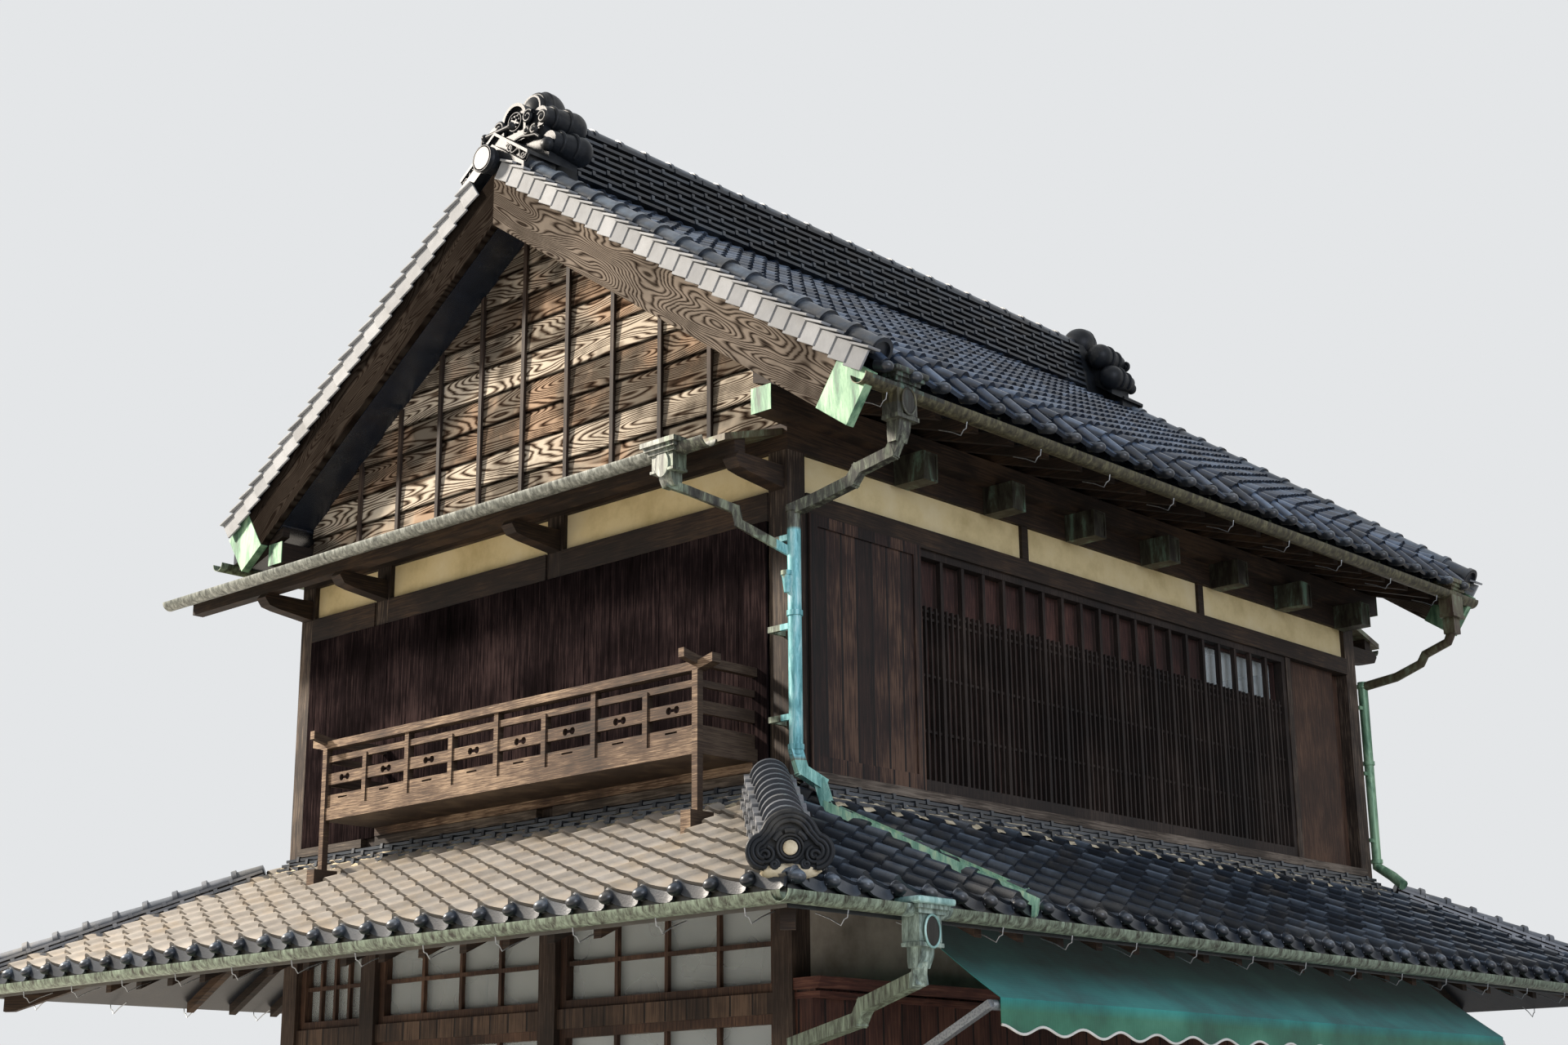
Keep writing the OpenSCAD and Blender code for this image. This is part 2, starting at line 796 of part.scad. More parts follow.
// Parent bars run the full height; the thin bars between them stop short of the head
module front_lattice() {
    w = lattice_x1 - lattice_x0 - 2 * seat_gap;
    h = lattice_z1 - sill_top_z - 2 * seat_gap;
    rim = 40;
    foot = lattice_z0 - sill_top_z;
    pitch = (w - 2 * rim) / lattice_bays;
    small = pitch / (child_bars + 1);
    child_top = h - rim - child_drop;
    rail_h = 14;
    rails = [0.28, 0.6, 0.93, 0.975];
    color("#2f2722")
        translate([lattice_x0 + seat_gap, 0, sill_top_z + seat_gap]) {
            difference() {
                translate([0, 8, 0])
                    cube([w, 60, h]);
                translate([rim, 0, foot])
                    cube([w - 2 * rim, 80, h - foot - rim]);
            }
            for (i = [1:lattice_bays - 1])
                translate([rim + pitch * i - parent_w / 2, 12, foot])
                    cube([parent_w, bar_d, h - foot - rim]);
            for (i = [0:lattice_bays - 1], j = [1:child_bars])
                translate([rim + pitch * i + small * j - child_w / 2, 16, foot])
                    cube([child_w, bar_d - 8, child_top - foot]);
            for (r = rails)
                translate([rim, 28, foot + (child_top - foot) * r - rail_h / 2])
                    cube([w - 2 * rim, 22, rail_h]);
        }
}

// Sliding sashes behind the lattice: four boarded leaves and one glazed leaf at the right
sash_count = 4;
module front_sashes() {
    w = (lattice_x1 - lattice_x0 - 2 * seat_gap) / sash_count;
    h = lattice_z1 - sill_top_z - 2 * seat_gap;
    rim = 50;
    color("#6b3a2c")
        for (i = [0:sash_count - 1])
            translate([lattice_x0 + seat_gap + w * i + 0.5, 70, sill_top_z + seat_gap])
                if (i == sash_count - 1)
                    difference() {
                        cube([w - 1, 30, h]);
                        for (z = [rim, h / 2 + 12])
                            translate([rim, -1, z])
                                cube([w - 1 - 2 * rim, 40, h / 2 - rim - 12]);
                    }
                else
                    difference() {
                        cube([w - 1, 30, h]);
                        translate([rim, 12, rim])
                            cube([w - 1 - 2 * rim, 40, h - 2 * rim]);
                    }
}

module reed_screen() {
    x0 = lattice_x1 + stud_w + seat_gap;
    x1 = house_w - post_w - seat_gap;
    color("#8a6a4a") {
        block(x0, screen_x1, 40, 60, sill_top_z + seat_gap, lattice_z1 - seat_gap);
        block(screen_x1 + 0.5, x1, 80, 80 + panel_t, sill_top_z + seat_gap, lattice_z1 - seat_gap);
    }
}

// Ends of the floor-carrying beams that stand out under the front purlin
beam_end_first = 815;
beam_end_pitch = 770;
beam_end_count = 7;
module beam_ends() {
    color("#3d4a3f")
        front_and_back()
            for (i = [0:beam_end_count - 1])
                translate([beam_end_first + i * beam_end_pitch - beam_end_w / 2, -beam_end_out,
                    plate_top - beam_end_h])
                    cube([beam_end_w, beam_end_out - seat_gap, beam_end_h - seat_gap]);
}

module eave_purlins() {
    color("#3f2f25")
        front_and_back()
            block(-verge_out + barge_t + 6, house_w + verge_out - barge_t - 6, purlin_y,
                purlin_y + purlin_w, plate_top, plate_top + purlin_h);
}

// Underside of the eaves, following the gentle slope of the open rafters
rafter_foot_z = plate_top + purlin_h;
function rafter_top_z(y) = rafter_foot_z + rafter_h + rafter_slope * (y - purlin_y);
rafter_reach = front_eave - 50;

module rafter_row(reach) {
    count = floor((house_w + 2 * verge_out - 160) / rafter_pitch);
    step = (house_w + 2 * verge_out - 160) / count;
    for (i = [0:count])
        translate([-verge_out + 80 + i * step - rafter_w / 2, 0, 0])
            run_x(0, rafter_w, [
                [40, rafter_top_z(40) - seat_gap], [40, rafter_top_z(40) - rafter_h],
                [-reach, rafter_top_z(-reach) - rafter_h], [-reach, rafter_top_z(-reach) - seat_gap]]);
}

module eave_rafters() {
    color("#3f2f25") {
        rafter_row(rafter_reach);
        translate([0, house_d, 0])
            mirror([0, 1, 0])
                rafter_row(back_eave - 50);
    }
}

// One roof slope, drawn from its eave to the ridge as y grows
module roof_slope_solid(eave, run) {
    bend = purlin_y + purlin_w + 1;
    run_x(-verge_out + barge_t + seat_gap, house_w + verge_out - barge_t - seat_gap, [
        [-eave, roof_apex_z - roof_slope * (run + eave)],
        [-eave, rafter_top_z(-eave)],
        [bend, rafter_top_z(bend)],
        [bend + 0.01, max(rafter_top_z(bend) + 1, barge_apex_low - roof_slope * (run - bend))],
        [run - seat_gap, barge_apex_low],
        [run - seat_gap, roof_apex_z]]);
}

// The rolls of the tile columns: low ribs that run up the slope beside each trough. They end
// below the ridge stack, and the two outer ones below the end tiles
roof_x0 = -verge_out + barge_t + seat_gap;
roof_x1 = house_w + verge_out - barge_t - seat_gap;
module tile_rolls(eave, run) {
    wide = (roof_x1 - roof_x0) / tile_columns;
    pitch = atan(roof_slope);
    translate([0, -eave, roof_apex_z - roof_slope * (run + eave)])
        rotate([pitch, 0, 0])
            for (i = [0:tile_columns - 1])
                let (outer = i == 0 || i == tile_columns - 1,
                    top = (run + eave - (outer ? seat_reach + 20 : ridge_w / 2 + 20)) / cos(pitch))
                    translate([roof_x0 + wide * i, top, -1])
                        rotate([90, 0, 0])
                            linear_extrude(top - 2)
                                polygon([
                                    [1, 0], [1, roll_h * 0.55], [wide * 0.08, roll_h * 0.86],
                                    [wide * 0.14, roll_h], [wide * 0.2, roll_h * 0.92],
                                    [wide * 0.3, roll_h * 0.5], [wide * 0.42, 0]]);
}

module front_roof() {
    color("#4b5562") {
        roof_slope_solid(front_eave, apex_y);
        tile_rolls(front_eave, apex_y);
    }
}

module back_roof() {
    color("#4b5562")
        translate([0, house_d, 0])
            mirror([0, 1, 0]) {
                roof_slope_solid(back_eave, house_d - apex_y);
                tile_rolls(back_eave, house_d - apex_y);
            }
}

// Boarded triangle of each gable: lapped boards under upright battens, between the wall
// plate and the roof
gable_courses = 10;
lap_out = 13;
module gable_triangle(grow) {
    y0 = 60 + grow;
    y1 = house_d - 60 - grow;
    translate([-20, 0, 0])
        run_x(0, 90, [
            [y0, plate_top + seat_gap], [y1, plate_top + seat_gap], [y1, barge_low_z(y1) - 0.5 - grow],
            [apex_y, barge_apex_low - 0.5 - grow], [y0, barge_low_z(y0) - 0.5 - grow]]);
}

module gable_walls() {
    foot = plate_top + seat_gap;
    course = (barge_apex_low - foot) / gable_courses;
    batten_pitch = 385;
    battens = floor((house_d - 120) / batten_pitch);
    laps = [for (i = [0:gable_courses - 1]) each [
        [18 - lap_out, foot + course * i], [18, foot + course * (i + 1)]]];
    color("#8a6b4e")
        both_gables() {
            intersection() {
                gable_triangle(0);
                run_y(0, house_d, concat(
                    [[18 + panel_t, foot]], laps, [[18 + panel_t, foot + course * gable_courses]]));
            }
            for (i = [1:battens])
                let (y = 60 + (house_d - 120) * i / (battens + 1))
                    block(4 - lap_out, 4.8, y - 14, y + 14, foot, barge_low_z(y) - 30);
        }
}

// A pair of boards that meet on the ridge line, each cut nearly upright at its lower end
barge_cut = 27;
module bargeboards() {
    front_end = apex_y + front_eave - 75;
    back_end = house_d - apex_y + back_eave - 60;
    color("#8a7868")
        both_gables()
            for (side = [[-1, front_end], [1, back_end]])
                translate([0, apex_y, 0])
                    run_x(-verge_out, -verge_out + barge_t, [
                        [side[0] * 0.3, barge_apex_low],
                        [side[0] * 0.3, barge_apex_top],
                        [side[0] * side[1], barge_apex_top - roof_slope * side[1]],
                        [side[0] * (side[1] - barge_cut),
                            barge_apex_low - roof_slope * (side[1] - barge_cut)]]);
}

// Thin copper shoes on the bargeboard ends and on the purlin ends
module copper_caps() {
    front_end = apex_y + front_eave - 75;
    back_end = house_d - apex_y + back_eave - 60;
    sole = barge_cut;
    shoe = 230;
    color("#7fa58d")
        both_gables() {
            for (side = [[-1, front_end], [1, back_end]])
                translate([0, apex_y, 0])
                    run_x(-verge_out - 3, -verge_out - seat_gap, [
                        [side[0] * (side[1] - shoe), barge_apex_top - roof_slope * (side[1] - shoe)],
                        [side[0] * side[1], barge_apex_top - roof_slope * side[1]],
                        [side[0] * (side[1] - sole), barge_apex_low - roof_slope * (side[1] - sole)],
                        [side[0] * (side[1] - sole - shoe),
                            barge_apex_low - roof_slope * (side[1] - sole - shoe)]]);
            for (y = [purlin_y, house_d - purlin_y - purlin_w])
                block(-verge_out + barge_t + 2, -verge_out + barge_t + 6 - seat_gap, y, y + purlin_w,
                    plate_top, plate_top + purlin_h);
        }
}

// The tall ridge: courses of flat tiles stepped in from a wide foot, under a round cap
ridge_in = 255;
module ridge_run(x0, x1, cap) {
    course = ridge_h / ridge_courses;
    half = ridge_w / 2;
    step = 8;
    base = roof_apex_z + seat_gap * 2;
    fall = half * roof_slope;
    translate([0, apex_y, 0]) {
        run_x(x0, x1, concat(
            [[-half, base - fall]],
            [for (i = [0:ridge_courses - 1]) each [
                [-half + step * i, base + course * i - (i == 0 ? fall / 2 : 0)],
                [-half + step * i, base + course * (i + 1)]]],
            [for (i = [ridge_courses - 1:-1:0]) each [
                [half - step * i, base + course * (i + 1)],
                [half - step * i, base + course * i - (i == 0 ? fall / 2 : 0)]]],
            [[half, base - fall], [0, base]]));
        if (cap)
            translate([x0, 0, base + ridge_h])
                rotate([0, 90, 0])
                    cylinder(h = x1 - x0, r = cap_r);
    }
}

module ridge_stack() {
    color("#5d6570")
        ridge_run(ridge_in, house_w - ridge_in, true);
}

// End tile of the ridge. A chevron seat follows both slopes: a foot, a recessed panel and a
// projecting slab. On it stand an arched niche with a boss and stepped, rounded lobes that
// run back over the ridge. A barrel with a convex disc closes the verge below.
seat_reach = 300;
niche_r = 108;
lobes = [[0, 420, 130, 112, 105], [205, 264, 98, 144, 0], [289, 80, 92, 127, 0]];
module chevron(x0, x1, reach, z0, z1) {
    base = roof_apex_z + 1;
    translate([0, apex_y, 0])
        run_x(x0, x1, [
            [-reach, base + z0 - reach * roof_slope], [-reach, base + z1 - reach * roof_slope],
            [0, base + z1], [reach, base + z1 - reach * roof_slope],
            [reach, base + z0 - reach * roof_slope], [0, base + z0]]);
}

module ridge_end_solid() {
    face_x = -verge_out + 135;
    base = roof_apex_z + 1;
    chevron(-verge_out - 25, -30, seat_reach - 10, 0, 86);
    chevron(-verge_out + 10, -30, seat_reach - 25, 80, 150);
    chevron(-verge_out - 10, -20, seat_reach, 148, 168);
    translate([0, apex_y, base]) {
        translate([face_x, 0, 298])
            rotate([90, 0, 90])
                linear_extrude(75)
                    difference() {
                        union() {
                            circle(niche_r);
                            translate([-niche_r, -150])
                                square([2 * niche_r, 150]);
                        }
                        circle(niche_r - 20);
                        translate([-niche_r + 20, -90])
                            square([2 * niche_r - 40, 90]);
                    }
        translate([face_x + 8, 0, 290])
            rotate([0, 90, 0])
                cylinder(h = 60, r = 40);
        for (lobe = lobes, side = [-1, 1])
            translate([face_x + 25 + lobe[4], side * lobe[0], lobe[1]])
                rotate([0, 90, 0]) {
                    cylinder(h = lobe[3] - face_x - 25 - lobe[4], r1 = lobe[2] * 0.66, r2 = lobe[2]);
                    translate([0, 0, lobe[3] - face_x - 25 - lobe[4]])
                        sphere(lobe[2]);
                }
        translate([face_x + 30, 0, 0])
            rotate([90, 0, 90])
                linear_extrude(lobes[2][3] - face_x - 30)
                    polygon([
                        [0, 150], [lobes[2][0], 150 - lobes[2][0] * roof_slope], [lobes[2][0], lobes[2][1]],
                        [lobes[1][0], lobes[1][1]], [0, lobes[0][1]], [-lobes[1][0], lobes[1][1]],
                        [-lobes[2][0], lobes[2][1]], [-lobes[2][0], 150 - lobes[2][0] * roof_slope]]);
        translate([-verge_out + 20, 0, 178])
            rotate([90, 0, 0])
                translate([0, 0, -115])
                    cylinder(h = 230, r = 16);
        for (side = [-1, 1])
            translate([-verge_out + 20, side * 118, 178])
                sphere(24);
        translate([-verge_out - 100, 0, -26])
            rotate([0, 90, 0]) {
                cylinder(h = 34, r1 = 68, r2 = 82);
                translate([0, 0, 33])
                    cylinder(h = 20, r = 82);
                translate([0, 0, 50])
                    cylinder(h = 48, r = 72);
            }
    }
    ridge_run(-40, ridge_in - seat_gap, false);
}

module end_tiles() {
    color("#5d6570") {
        both_gables()
            ridge_end_solid();
        hip_end_tile();
    }
}

// Thin copper roof over each gable wall
pent_y0 = 30;
pent_y1 = house_d + pent_past;
pent_wall_z = plate_top - 24;
pent_slope = 0.3;
module pent_eaves() {
    color("#5f6f63")
        both_gables()
            run_y(pent_y0, pent_y1, [
                [-seat_gap, pent_wall_z], [-pent_out - 20, pent_wall_z - pent_slope * (pent_out + 20)],
                [-pent_out - 20, pent_wall_z - pent_slope * (pent_out + 20) - pent_t],
                [-seat_gap, pent_wall_z - pent_t]]);
}

// Shaped arms from the posts that carry the purlin under each pent roof
arm_h = 90;
arm_w = 90;
arm_reach = 330;
arm_top_z = pent_wall_z - pent_slope * arm_reach - pent_t - 70;
module pent_brackets() {
    color("#3f2f25")
        both_gables() {
            for (y = side_y)
                translate([0, y - arm_w / 2, 0])
                    run_y(0, arm_w, [
                        [-seat_gap, arm_top_z - arm_h - 30], [-seat_gap, arm_top_z],
                        [-arm_reach, arm_top_z], [-arm_reach - 25, arm_top_z - 30],
                        [-arm_reach + 10, arm_top_z - arm_h + 15], [-arm_reach + 80, arm_top_z - arm_h]]);
            run_y(pent_y0 + 20, pent_y1 - 40, [
                [-arm_reach, arm_top_z - 0.01], [-arm_reach + 75, arm_top_z - 0.01],
                [-arm_reach + 75, pent_wall_z - pent_t - pent_slope * (arm_reach - 75) - seat_gap],
                [-arm_reach, pent_wall_z - pent_t - pent_slope * arm_reach - seat_gap]]);
        }
}

// Balcony on the near gable: floor, posts that stand on the skirt roof and an open railing
skirt_side_slope = (skirt_wall_z - skirt_eave_z) / skirt_side;
function skirt_near_z(x) = skirt_wall_z + skirt_side_slope * x;
balcony_bays = 8;
balcony_slab = 68;
// Gourd-shaped openings in the middle rail, drawn along y
module gourd_hole(x, y, z) {
    translate([x, y, z])
        rotate([0, 90, 0])
            linear_extrude(60) {
                translate([0, -27])
                    circle(19);
                translate([0, 27])
                    circle(19);
                translate([-8, -27])
                    square([16, 54]);
            }
}

module balcony() {
    x_out = -balcony_out;
    wall_x = 40 - seat_gap;
    rails = [[0.10, 73], [0.43, 64], [0.73, 35]];
    post_x = x_out - 8;
    end_y = [balcony_y0, balcony_y1 - rail_post_w];
    top_z = balcony_floor_z + rail_h;
    bay = (balcony_y1 - balcony_y0) / balcony_bays;
    upturn = 24;
    color("#7a6450") {
        block(x_out, -seat_gap, balcony_y0, balcony_y1, balcony_floor_z - balcony_slab, balcony_floor_z);
        block(-55, -seat_gap, balcony_y0, balcony_y1, sill_top_z + seat_gap, balcony_floor_z);
        difference() {
            for (r = rails)
                block(x_out + 10, x_out + 34, balcony_y0 + 10, balcony_y1 - 10,
                    balcony_floor_z + rail_h * r[0] - r[1] / 2,
                    balcony_floor_z + rail_h * r[0] + r[1] / 2);
            for (i = [0:balcony_bays - 1])
                gourd_hole(x_out - 10, balcony_y0 + bay * (i + 0.5), balcony_floor_z + rail_h * rails[1][0]);
            for (i = [0:balcony_bays - 1])
                translate([x_out - 10, balcony_y0 + bay * (i + 0.42), balcony_floor_z + rail_h * rails[0][0] + 12])
                    cube([60, bay * 0.22, 9]);
        }
        run_x(x_out - 8, x_out + 52, [
            [balcony_y0 - 100, top_z - 45 + upturn], [balcony_y0, top_z - 45], [balcony_y1, top_z - 45],
            [balcony_y1 + 100, top_z - 45 + upturn], [balcony_y1 + 100, top_z + upturn],
            [balcony_y1, top_z], [balcony_y0, top_z], [balcony_y0 - 100, top_z + upturn]]);
        for (y = end_y) {
            for (r = rails)
                block(x_out + 10, wall_x, y + 18, y + 42, balcony_floor_z + rail_h * r[0] - r[1] / 2,
                    balcony_floor_z + rail_h * r[0] + r[1] / 2);
            run_y(y, y + rail_post_w, [
                [x_out - 100, top_z - 20 + upturn], [x_out, top_z - 20], [wall_x, top_z - 20],
                [wall_x, top_z + 25], [x_out, top_z + 25], [x_out - 100, top_z + 25 + upturn]]);
            block(post_x, post_x + rail_post_w, y, y + rail_post_w, skirt_near_z(post_x) + 60, top_z);
            run_y(y - 15, y + rail_post_w + 15, [
                [post_x - 60, skirt_near_z(post_x - 60) + seat_gap],
                [post_x + rail_post_w + 60, skirt_near_z(post_x + rail_post_w + 60) + seat_gap],
                [post_x + rail_post_w + 60, skirt_near_z(post_x) + 128],
                [post_x - 60, skirt_near_z(post_x) + 128]]);
        }
        for (i = [1:balcony_bays - 1])
            let (y = balcony_y0 + bay * i)
                block(x_out + 2, x_out + 42, y - 17, y + 17, balcony_floor_z,
                    i % 2 == 1 ? balcony_floor_z + rail_h * rails[2][0] : top_z - 40);
    }
}

// Half-round gutter with a closed run, drawn along x from zero
module gutter_profile(r) {
    difference() {
        circle(r);
        circle(r - gutter_t);
        translate([-r - 1, 0])
            square([2 * r + 2, r + 1]);
    }
}

module gutter_x(x0, x1, y, z, r) {
    translate([x0, y, z])
        rotate([90, 0, 90])
            linear_extrude(x1 - x0)
                gutter_profile(r);
}

module gutter_y(y0, y1, x, z, r) {
    translate([x, y1, z])
        rotate([90, 0, 0])
            linear_extrude(y1 - y0)
                gutter_profile(r);
}

upper_gutter_y = -front_eave - gutter_r - seat_gap;
upper_gutter_z = 5262;
back_gutter_y = house_d + back_eave + gutter_r + seat_gap;
back_gutter_z = rafter_top_z(-back_eave) + 5;
pent_gutter_x = -pent_out - 20 - gutter_r - seat_gap;
skirt_gutter_z = skirt_lip_z + 60;
skirt_gutter_out = gutter_r + seat_gap;
skirt_front_slope = hip_rise / skirt_front;

// A moulded rain-head: a stepped square cap over a body that sweeps back to its outlet;
// y is the back face of the head and h its height
module rain_head(x, y, z, h) {
    caps = [[122, 138, 0, -26], [108, 124, -24, -46], [92, 108, -44, -66]];
    translate([x, y, z]) {
        for (cap = caps)
            translate([-cap[0], -cap[1], cap[3]])
                cube([cap[0] * 2, cap[1], cap[2] - cap[3]]);
        run_x(-75, 75, [
            [0, -60], [-96, -60], [-96, -h * 0.62], [-84, -h * 0.68], [0, -h * 0.68]]);
        run_x(-82, 82, [
            [0, -h * 0.64], [-103, -h * 0.64], [-103, -h * 0.7], [0, -h * 0.7]]);
        run_x(-44, 44, [
            [0, -h * 0.66], [-84, -h * 0.66], [-74, -h * 0.84], [-52, -h], [-4, -h], [0, -h * 0.9]]);
        translate([0, -100, -60 - h * 0.27])
            rotate([90, 0, 0])
                translate([0, 0, -6])
                    scale([0.72, 1])
                        cylinder(h = 10, r = 66);
    }
}

// A straight length of square leader from one point to another
module leader(a, b, w) {
    d = b - a;
    length = norm(d);
    translate(a)
        rotate([0, acos(d[2] / length), atan2(d[1], d[0])])
            translate([-w / 2, -w / 2, -w / 3])
                cube([w, w, length + w * 2 / 3]);
}

// A leader that bends from point to point
module leader_path(points, w) {
    for (i = [0:len(points) - 2])
        leader(points[i], points[i + 1], w);
}

// A strap that holds the corner pipe to the side face of the corner post
module pipe_strap(x, y, z) {
    block(x - 16, x + 4, y - 10, 40, z, z + 30);
    block(x - 16, -seat_gap, 20, 40, z, z + 30);
}

// Flat hook that carries the front gutter from the face of the eave
module gutter_hook(x) {
    block(x - 10, x + 10, -front_eave - seat_gap - 4, -front_eave - seat_gap, upper_gutter_z - 15,
        upper_gutter_z + 70);
}

corner_pipe = [-94, -127];
lower_pipe = [-80, -85];
module gutters() {
    skirt_x = -skirt_side - skirt_gutter_out;
    skirt_y = -skirt_front - skirt_gutter_out;
    head = [8, -front_eave - seat_gap, upper_gutter_z + 75];
    low_head = [-465, -skirt_front - seat_gap, skirt_gutter_z + 30];
    side_head = [pent_gutter_x + gutter_r - 2, 370, pent_gutter_z + 30];
    pipe_top = upper_gutter_z - 490;
    hooks = 9;
    color("#6f7f66") {
        gutter_x(-verge_out - 40, house_w + verge_out + 40, upper_gutter_y, upper_gutter_z, gutter_r);
        for (i = [0:hooks - 1])
            gutter_hook(200 + i * (house_w - 400) / (hooks - 1));
        gutter_x(-verge_out - 40, house_w + verge_out + 40, back_gutter_y, back_gutter_z, gutter_r);
        both_gables()
            gutter_y(pent_y0 + 60, pent_y1 + 10, pent_gutter_x, pent_gutter_z, gutter_r);
        front_and_back()
            gutter_x(skirt_x - gutter_r, house_w - skirt_x + gutter_r, skirt_y, skirt_gutter_z, gutter_r);
        both_gables()
            gutter_y(skirt_y, house_d - skirt_y, skirt_x, skirt_gutter_z, gutter_r);
        rain_head(head[0], head[1], head[2], 350);
        leader_path([
            [head[0], head[1] - 30, head[2] - 330], [0, -front_eave, head[2] - 395],
            [-31, -505, head[2] - 445], [-38, -465, head[2] - 500],
            [-72, -261, head[2] - 556], [corner_pipe[0], corner_pipe[1], pipe_top - 20]], 58);
        translate([corner_pipe[0], corner_pipe[1], sill_top_z + 35])
            cylinder(h = pipe_top - sill_top_z - 35, r = pipe_r);
        for (z = [pipe_top - 30, pipe_top - 560, sill_top_z + 60])
            translate([corner_pipe[0], corner_pipe[1], z])
                cylinder(h = 26, r = pipe_r + 6);
        for (z = [sill_top_z + 210, sill_top_z + 660, sill_top_z + 1110])
            pipe_strap(corner_pipe[0], corner_pipe[1], z);
        leader_path([
            [corner_pipe[0], corner_pipe[1], sill_top_z + 50], [-70, -140, sill_top_z - 40],
            [22, -180, sill_top_z - 95], [40, -215, skirt_wall_z + 35 - skirt_front_slope * 215]], 56);
        rotate([0, 0, -90])
            rain_head(-side_head[1], side_head[0], side_head[2], 230);
        leader_path([
            [side_head[0] - 40, side_head[1], side_head[2] - 215], [-406, 300, side_head[2] - 250],
            [-258, 110, side_head[2] - 358], [-250, 98, side_head[2] - 430],
            [corner_pipe[0] - 8, corner_pipe[1] + 12, side_head[2] - 592]], 42);
        translate([corner_pipe[0] - 42, corner_pipe[1] + 12, side_head[2] - 800]) {
            cylinder(h = 90, r1 = 14, r2 = 26);
            translate([0, 0, 86])
                cylinder(h = 22, r = 30);
        }
        rain_head(low_head[0], low_head[1], low_head[2], 290);
        leader_path([
            [low_head[0], low_head[1] - 30, low_head[2] - 270], [-445, -skirt_front - 10, low_head[2] - 330],
            [-298, -712, low_head[2] - 410], [-280, -660, low_head[2] - 470],
            [lower_pipe[0], lower_pipe[1], low_head[2] - 545]], 62);
        translate([lower_pipe[0], lower_pipe[1], plinth_h - 60])
            cylinder(h = low_head[2] - 530 - plinth_h + 60, r = pipe_r);
        for (z = [400, 1200, 2000])
            pipe_strap(lower_pipe[0], lower_pipe[1], z);
        lying_trough();
    }
}

// Open channel that lies on the front skirt slope and leads the water down to its gutter
module lying_trough() {
    start = [62, -250];
    stop = [452, -skirt_front - 38];
    run = norm(stop - start);
    lift = 26;
    translate([0, 0, skirt_wall_z])
        rotate([atan(hip_rise / skirt_front), 0, 0])
            translate([start[0], start[1], 0])
                rotate([0, 0, atan2(stop[1] - start[1], stop[0] - start[0])]) {
                    difference() {
                        translate([0, -37, lift])
                            cube([run, 74, 40]);
                        translate([-1, -33, lift + 5])
                            cube([run - 3, 66, 40]);
                    }
                    translate([run - 45, -37, lift - 78])
                        cube([45, 74, 90]);
                    for (x = [80, run / 2, run - 120])
                        translate([x, -37, 1])
                            cube([30, 74, lift + 1]);
                }
}

// The cloth slopes from under the skirt roof out to its front bar, then hangs as a valance
awning_t = 12;
awning_in = 170;
awning_top_z = 2990;
bar_r = 24;
module awning_cloth() {
    back = -awning_out - bar_r - seat_gap;
    color("#1f7a6b")
        run_x(awning_x0, awning_x1, [
            [-awning_in, awning_top_z], [back, awning_z + 42],
            [back - awning_t, awning_z + 30], [back - awning_t, awning_z - valance_h],
            [back, awning_z - valance_h], [back, awning_z + 28],
            [-awning_in, awning_top_z - awning_t]]);
}

module awning_frame() {
    arm_end = [-20, door_head_z - 100];
    color("#8f9399") {
        translate([awning_x0 - 40, -awning_out, awning_z])
            rotate([0, 90, 0])
                cylinder(h = awning_x1 - awning_x0 + 80, r = bar_r);
        for (x = [awning_x0 - 40, awning_x1 + 40]) {
            leader([x, -awning_out, awning_z], [x, arm_end[0], arm_end[1]], 38);
            block(x - 30, x + 30, arm_end[0], 40 - seat_gap, arm_end[1] - 40, arm_end[1] + 40);
        }
        block(awning_x0 - 60, awning_x1 + 60, -awning_in + seat_gap, -awning_in + 42,
            awning_top_z - 70, awning_top_z + 5);
        for (i = [0:4])
            let (x = awning_x0 + i * (awning_x1 - awning_x0) / 4)
                block(x - 25, x + 25, -awning_in + 40, -seat_gap, awning_top_z - 60, awning_top_z - 30);
    }
}

stone_plinth();
ground_posts();
ground_beams();
shop_doors();
shop_plaster();
shop_fascia();
ground_walls();
side_windows();
window_glass();
skirt_roof_front();
skirt_roof_near();
skirt_roof_far();
skirt_roof_back();
skirt_rafters();
flashing_courses();
hip_ridges();
upper_floor();
upper_posts();
upper_walls();
sill_boards();
head_beams();
plaster_strips();
wall_plates();
shutter_box();
front_lattice();
front_sashes();
reed_screen();
beam_ends();
eave_purlins();
eave_rafters();
front_roof();
back_roof();
gable_walls();
bargeboards();
copper_caps();
ridge_stack();
end_tiles();
pent_eaves();
pent_brackets();
balcony();
gutters();
awning_cloth();
awning_frame();
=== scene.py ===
# %% [markdown]
# # A timber townhouse with a tall tiled ridge
# The house arrives as a set of plain CAD solids: posts, beams, walls, roof slabs and pipes. This
# lesson dresses them. It gives every solid a finish, and lays on the things that are too fine for
# CAD: roof tiles, lapped boards, ridge courses, copper shoes and the awning cloth. The first step
# loads the solids.

# %% Load the house
import bpy
import json
import math
import random
from mathutils import Matrix, Vector

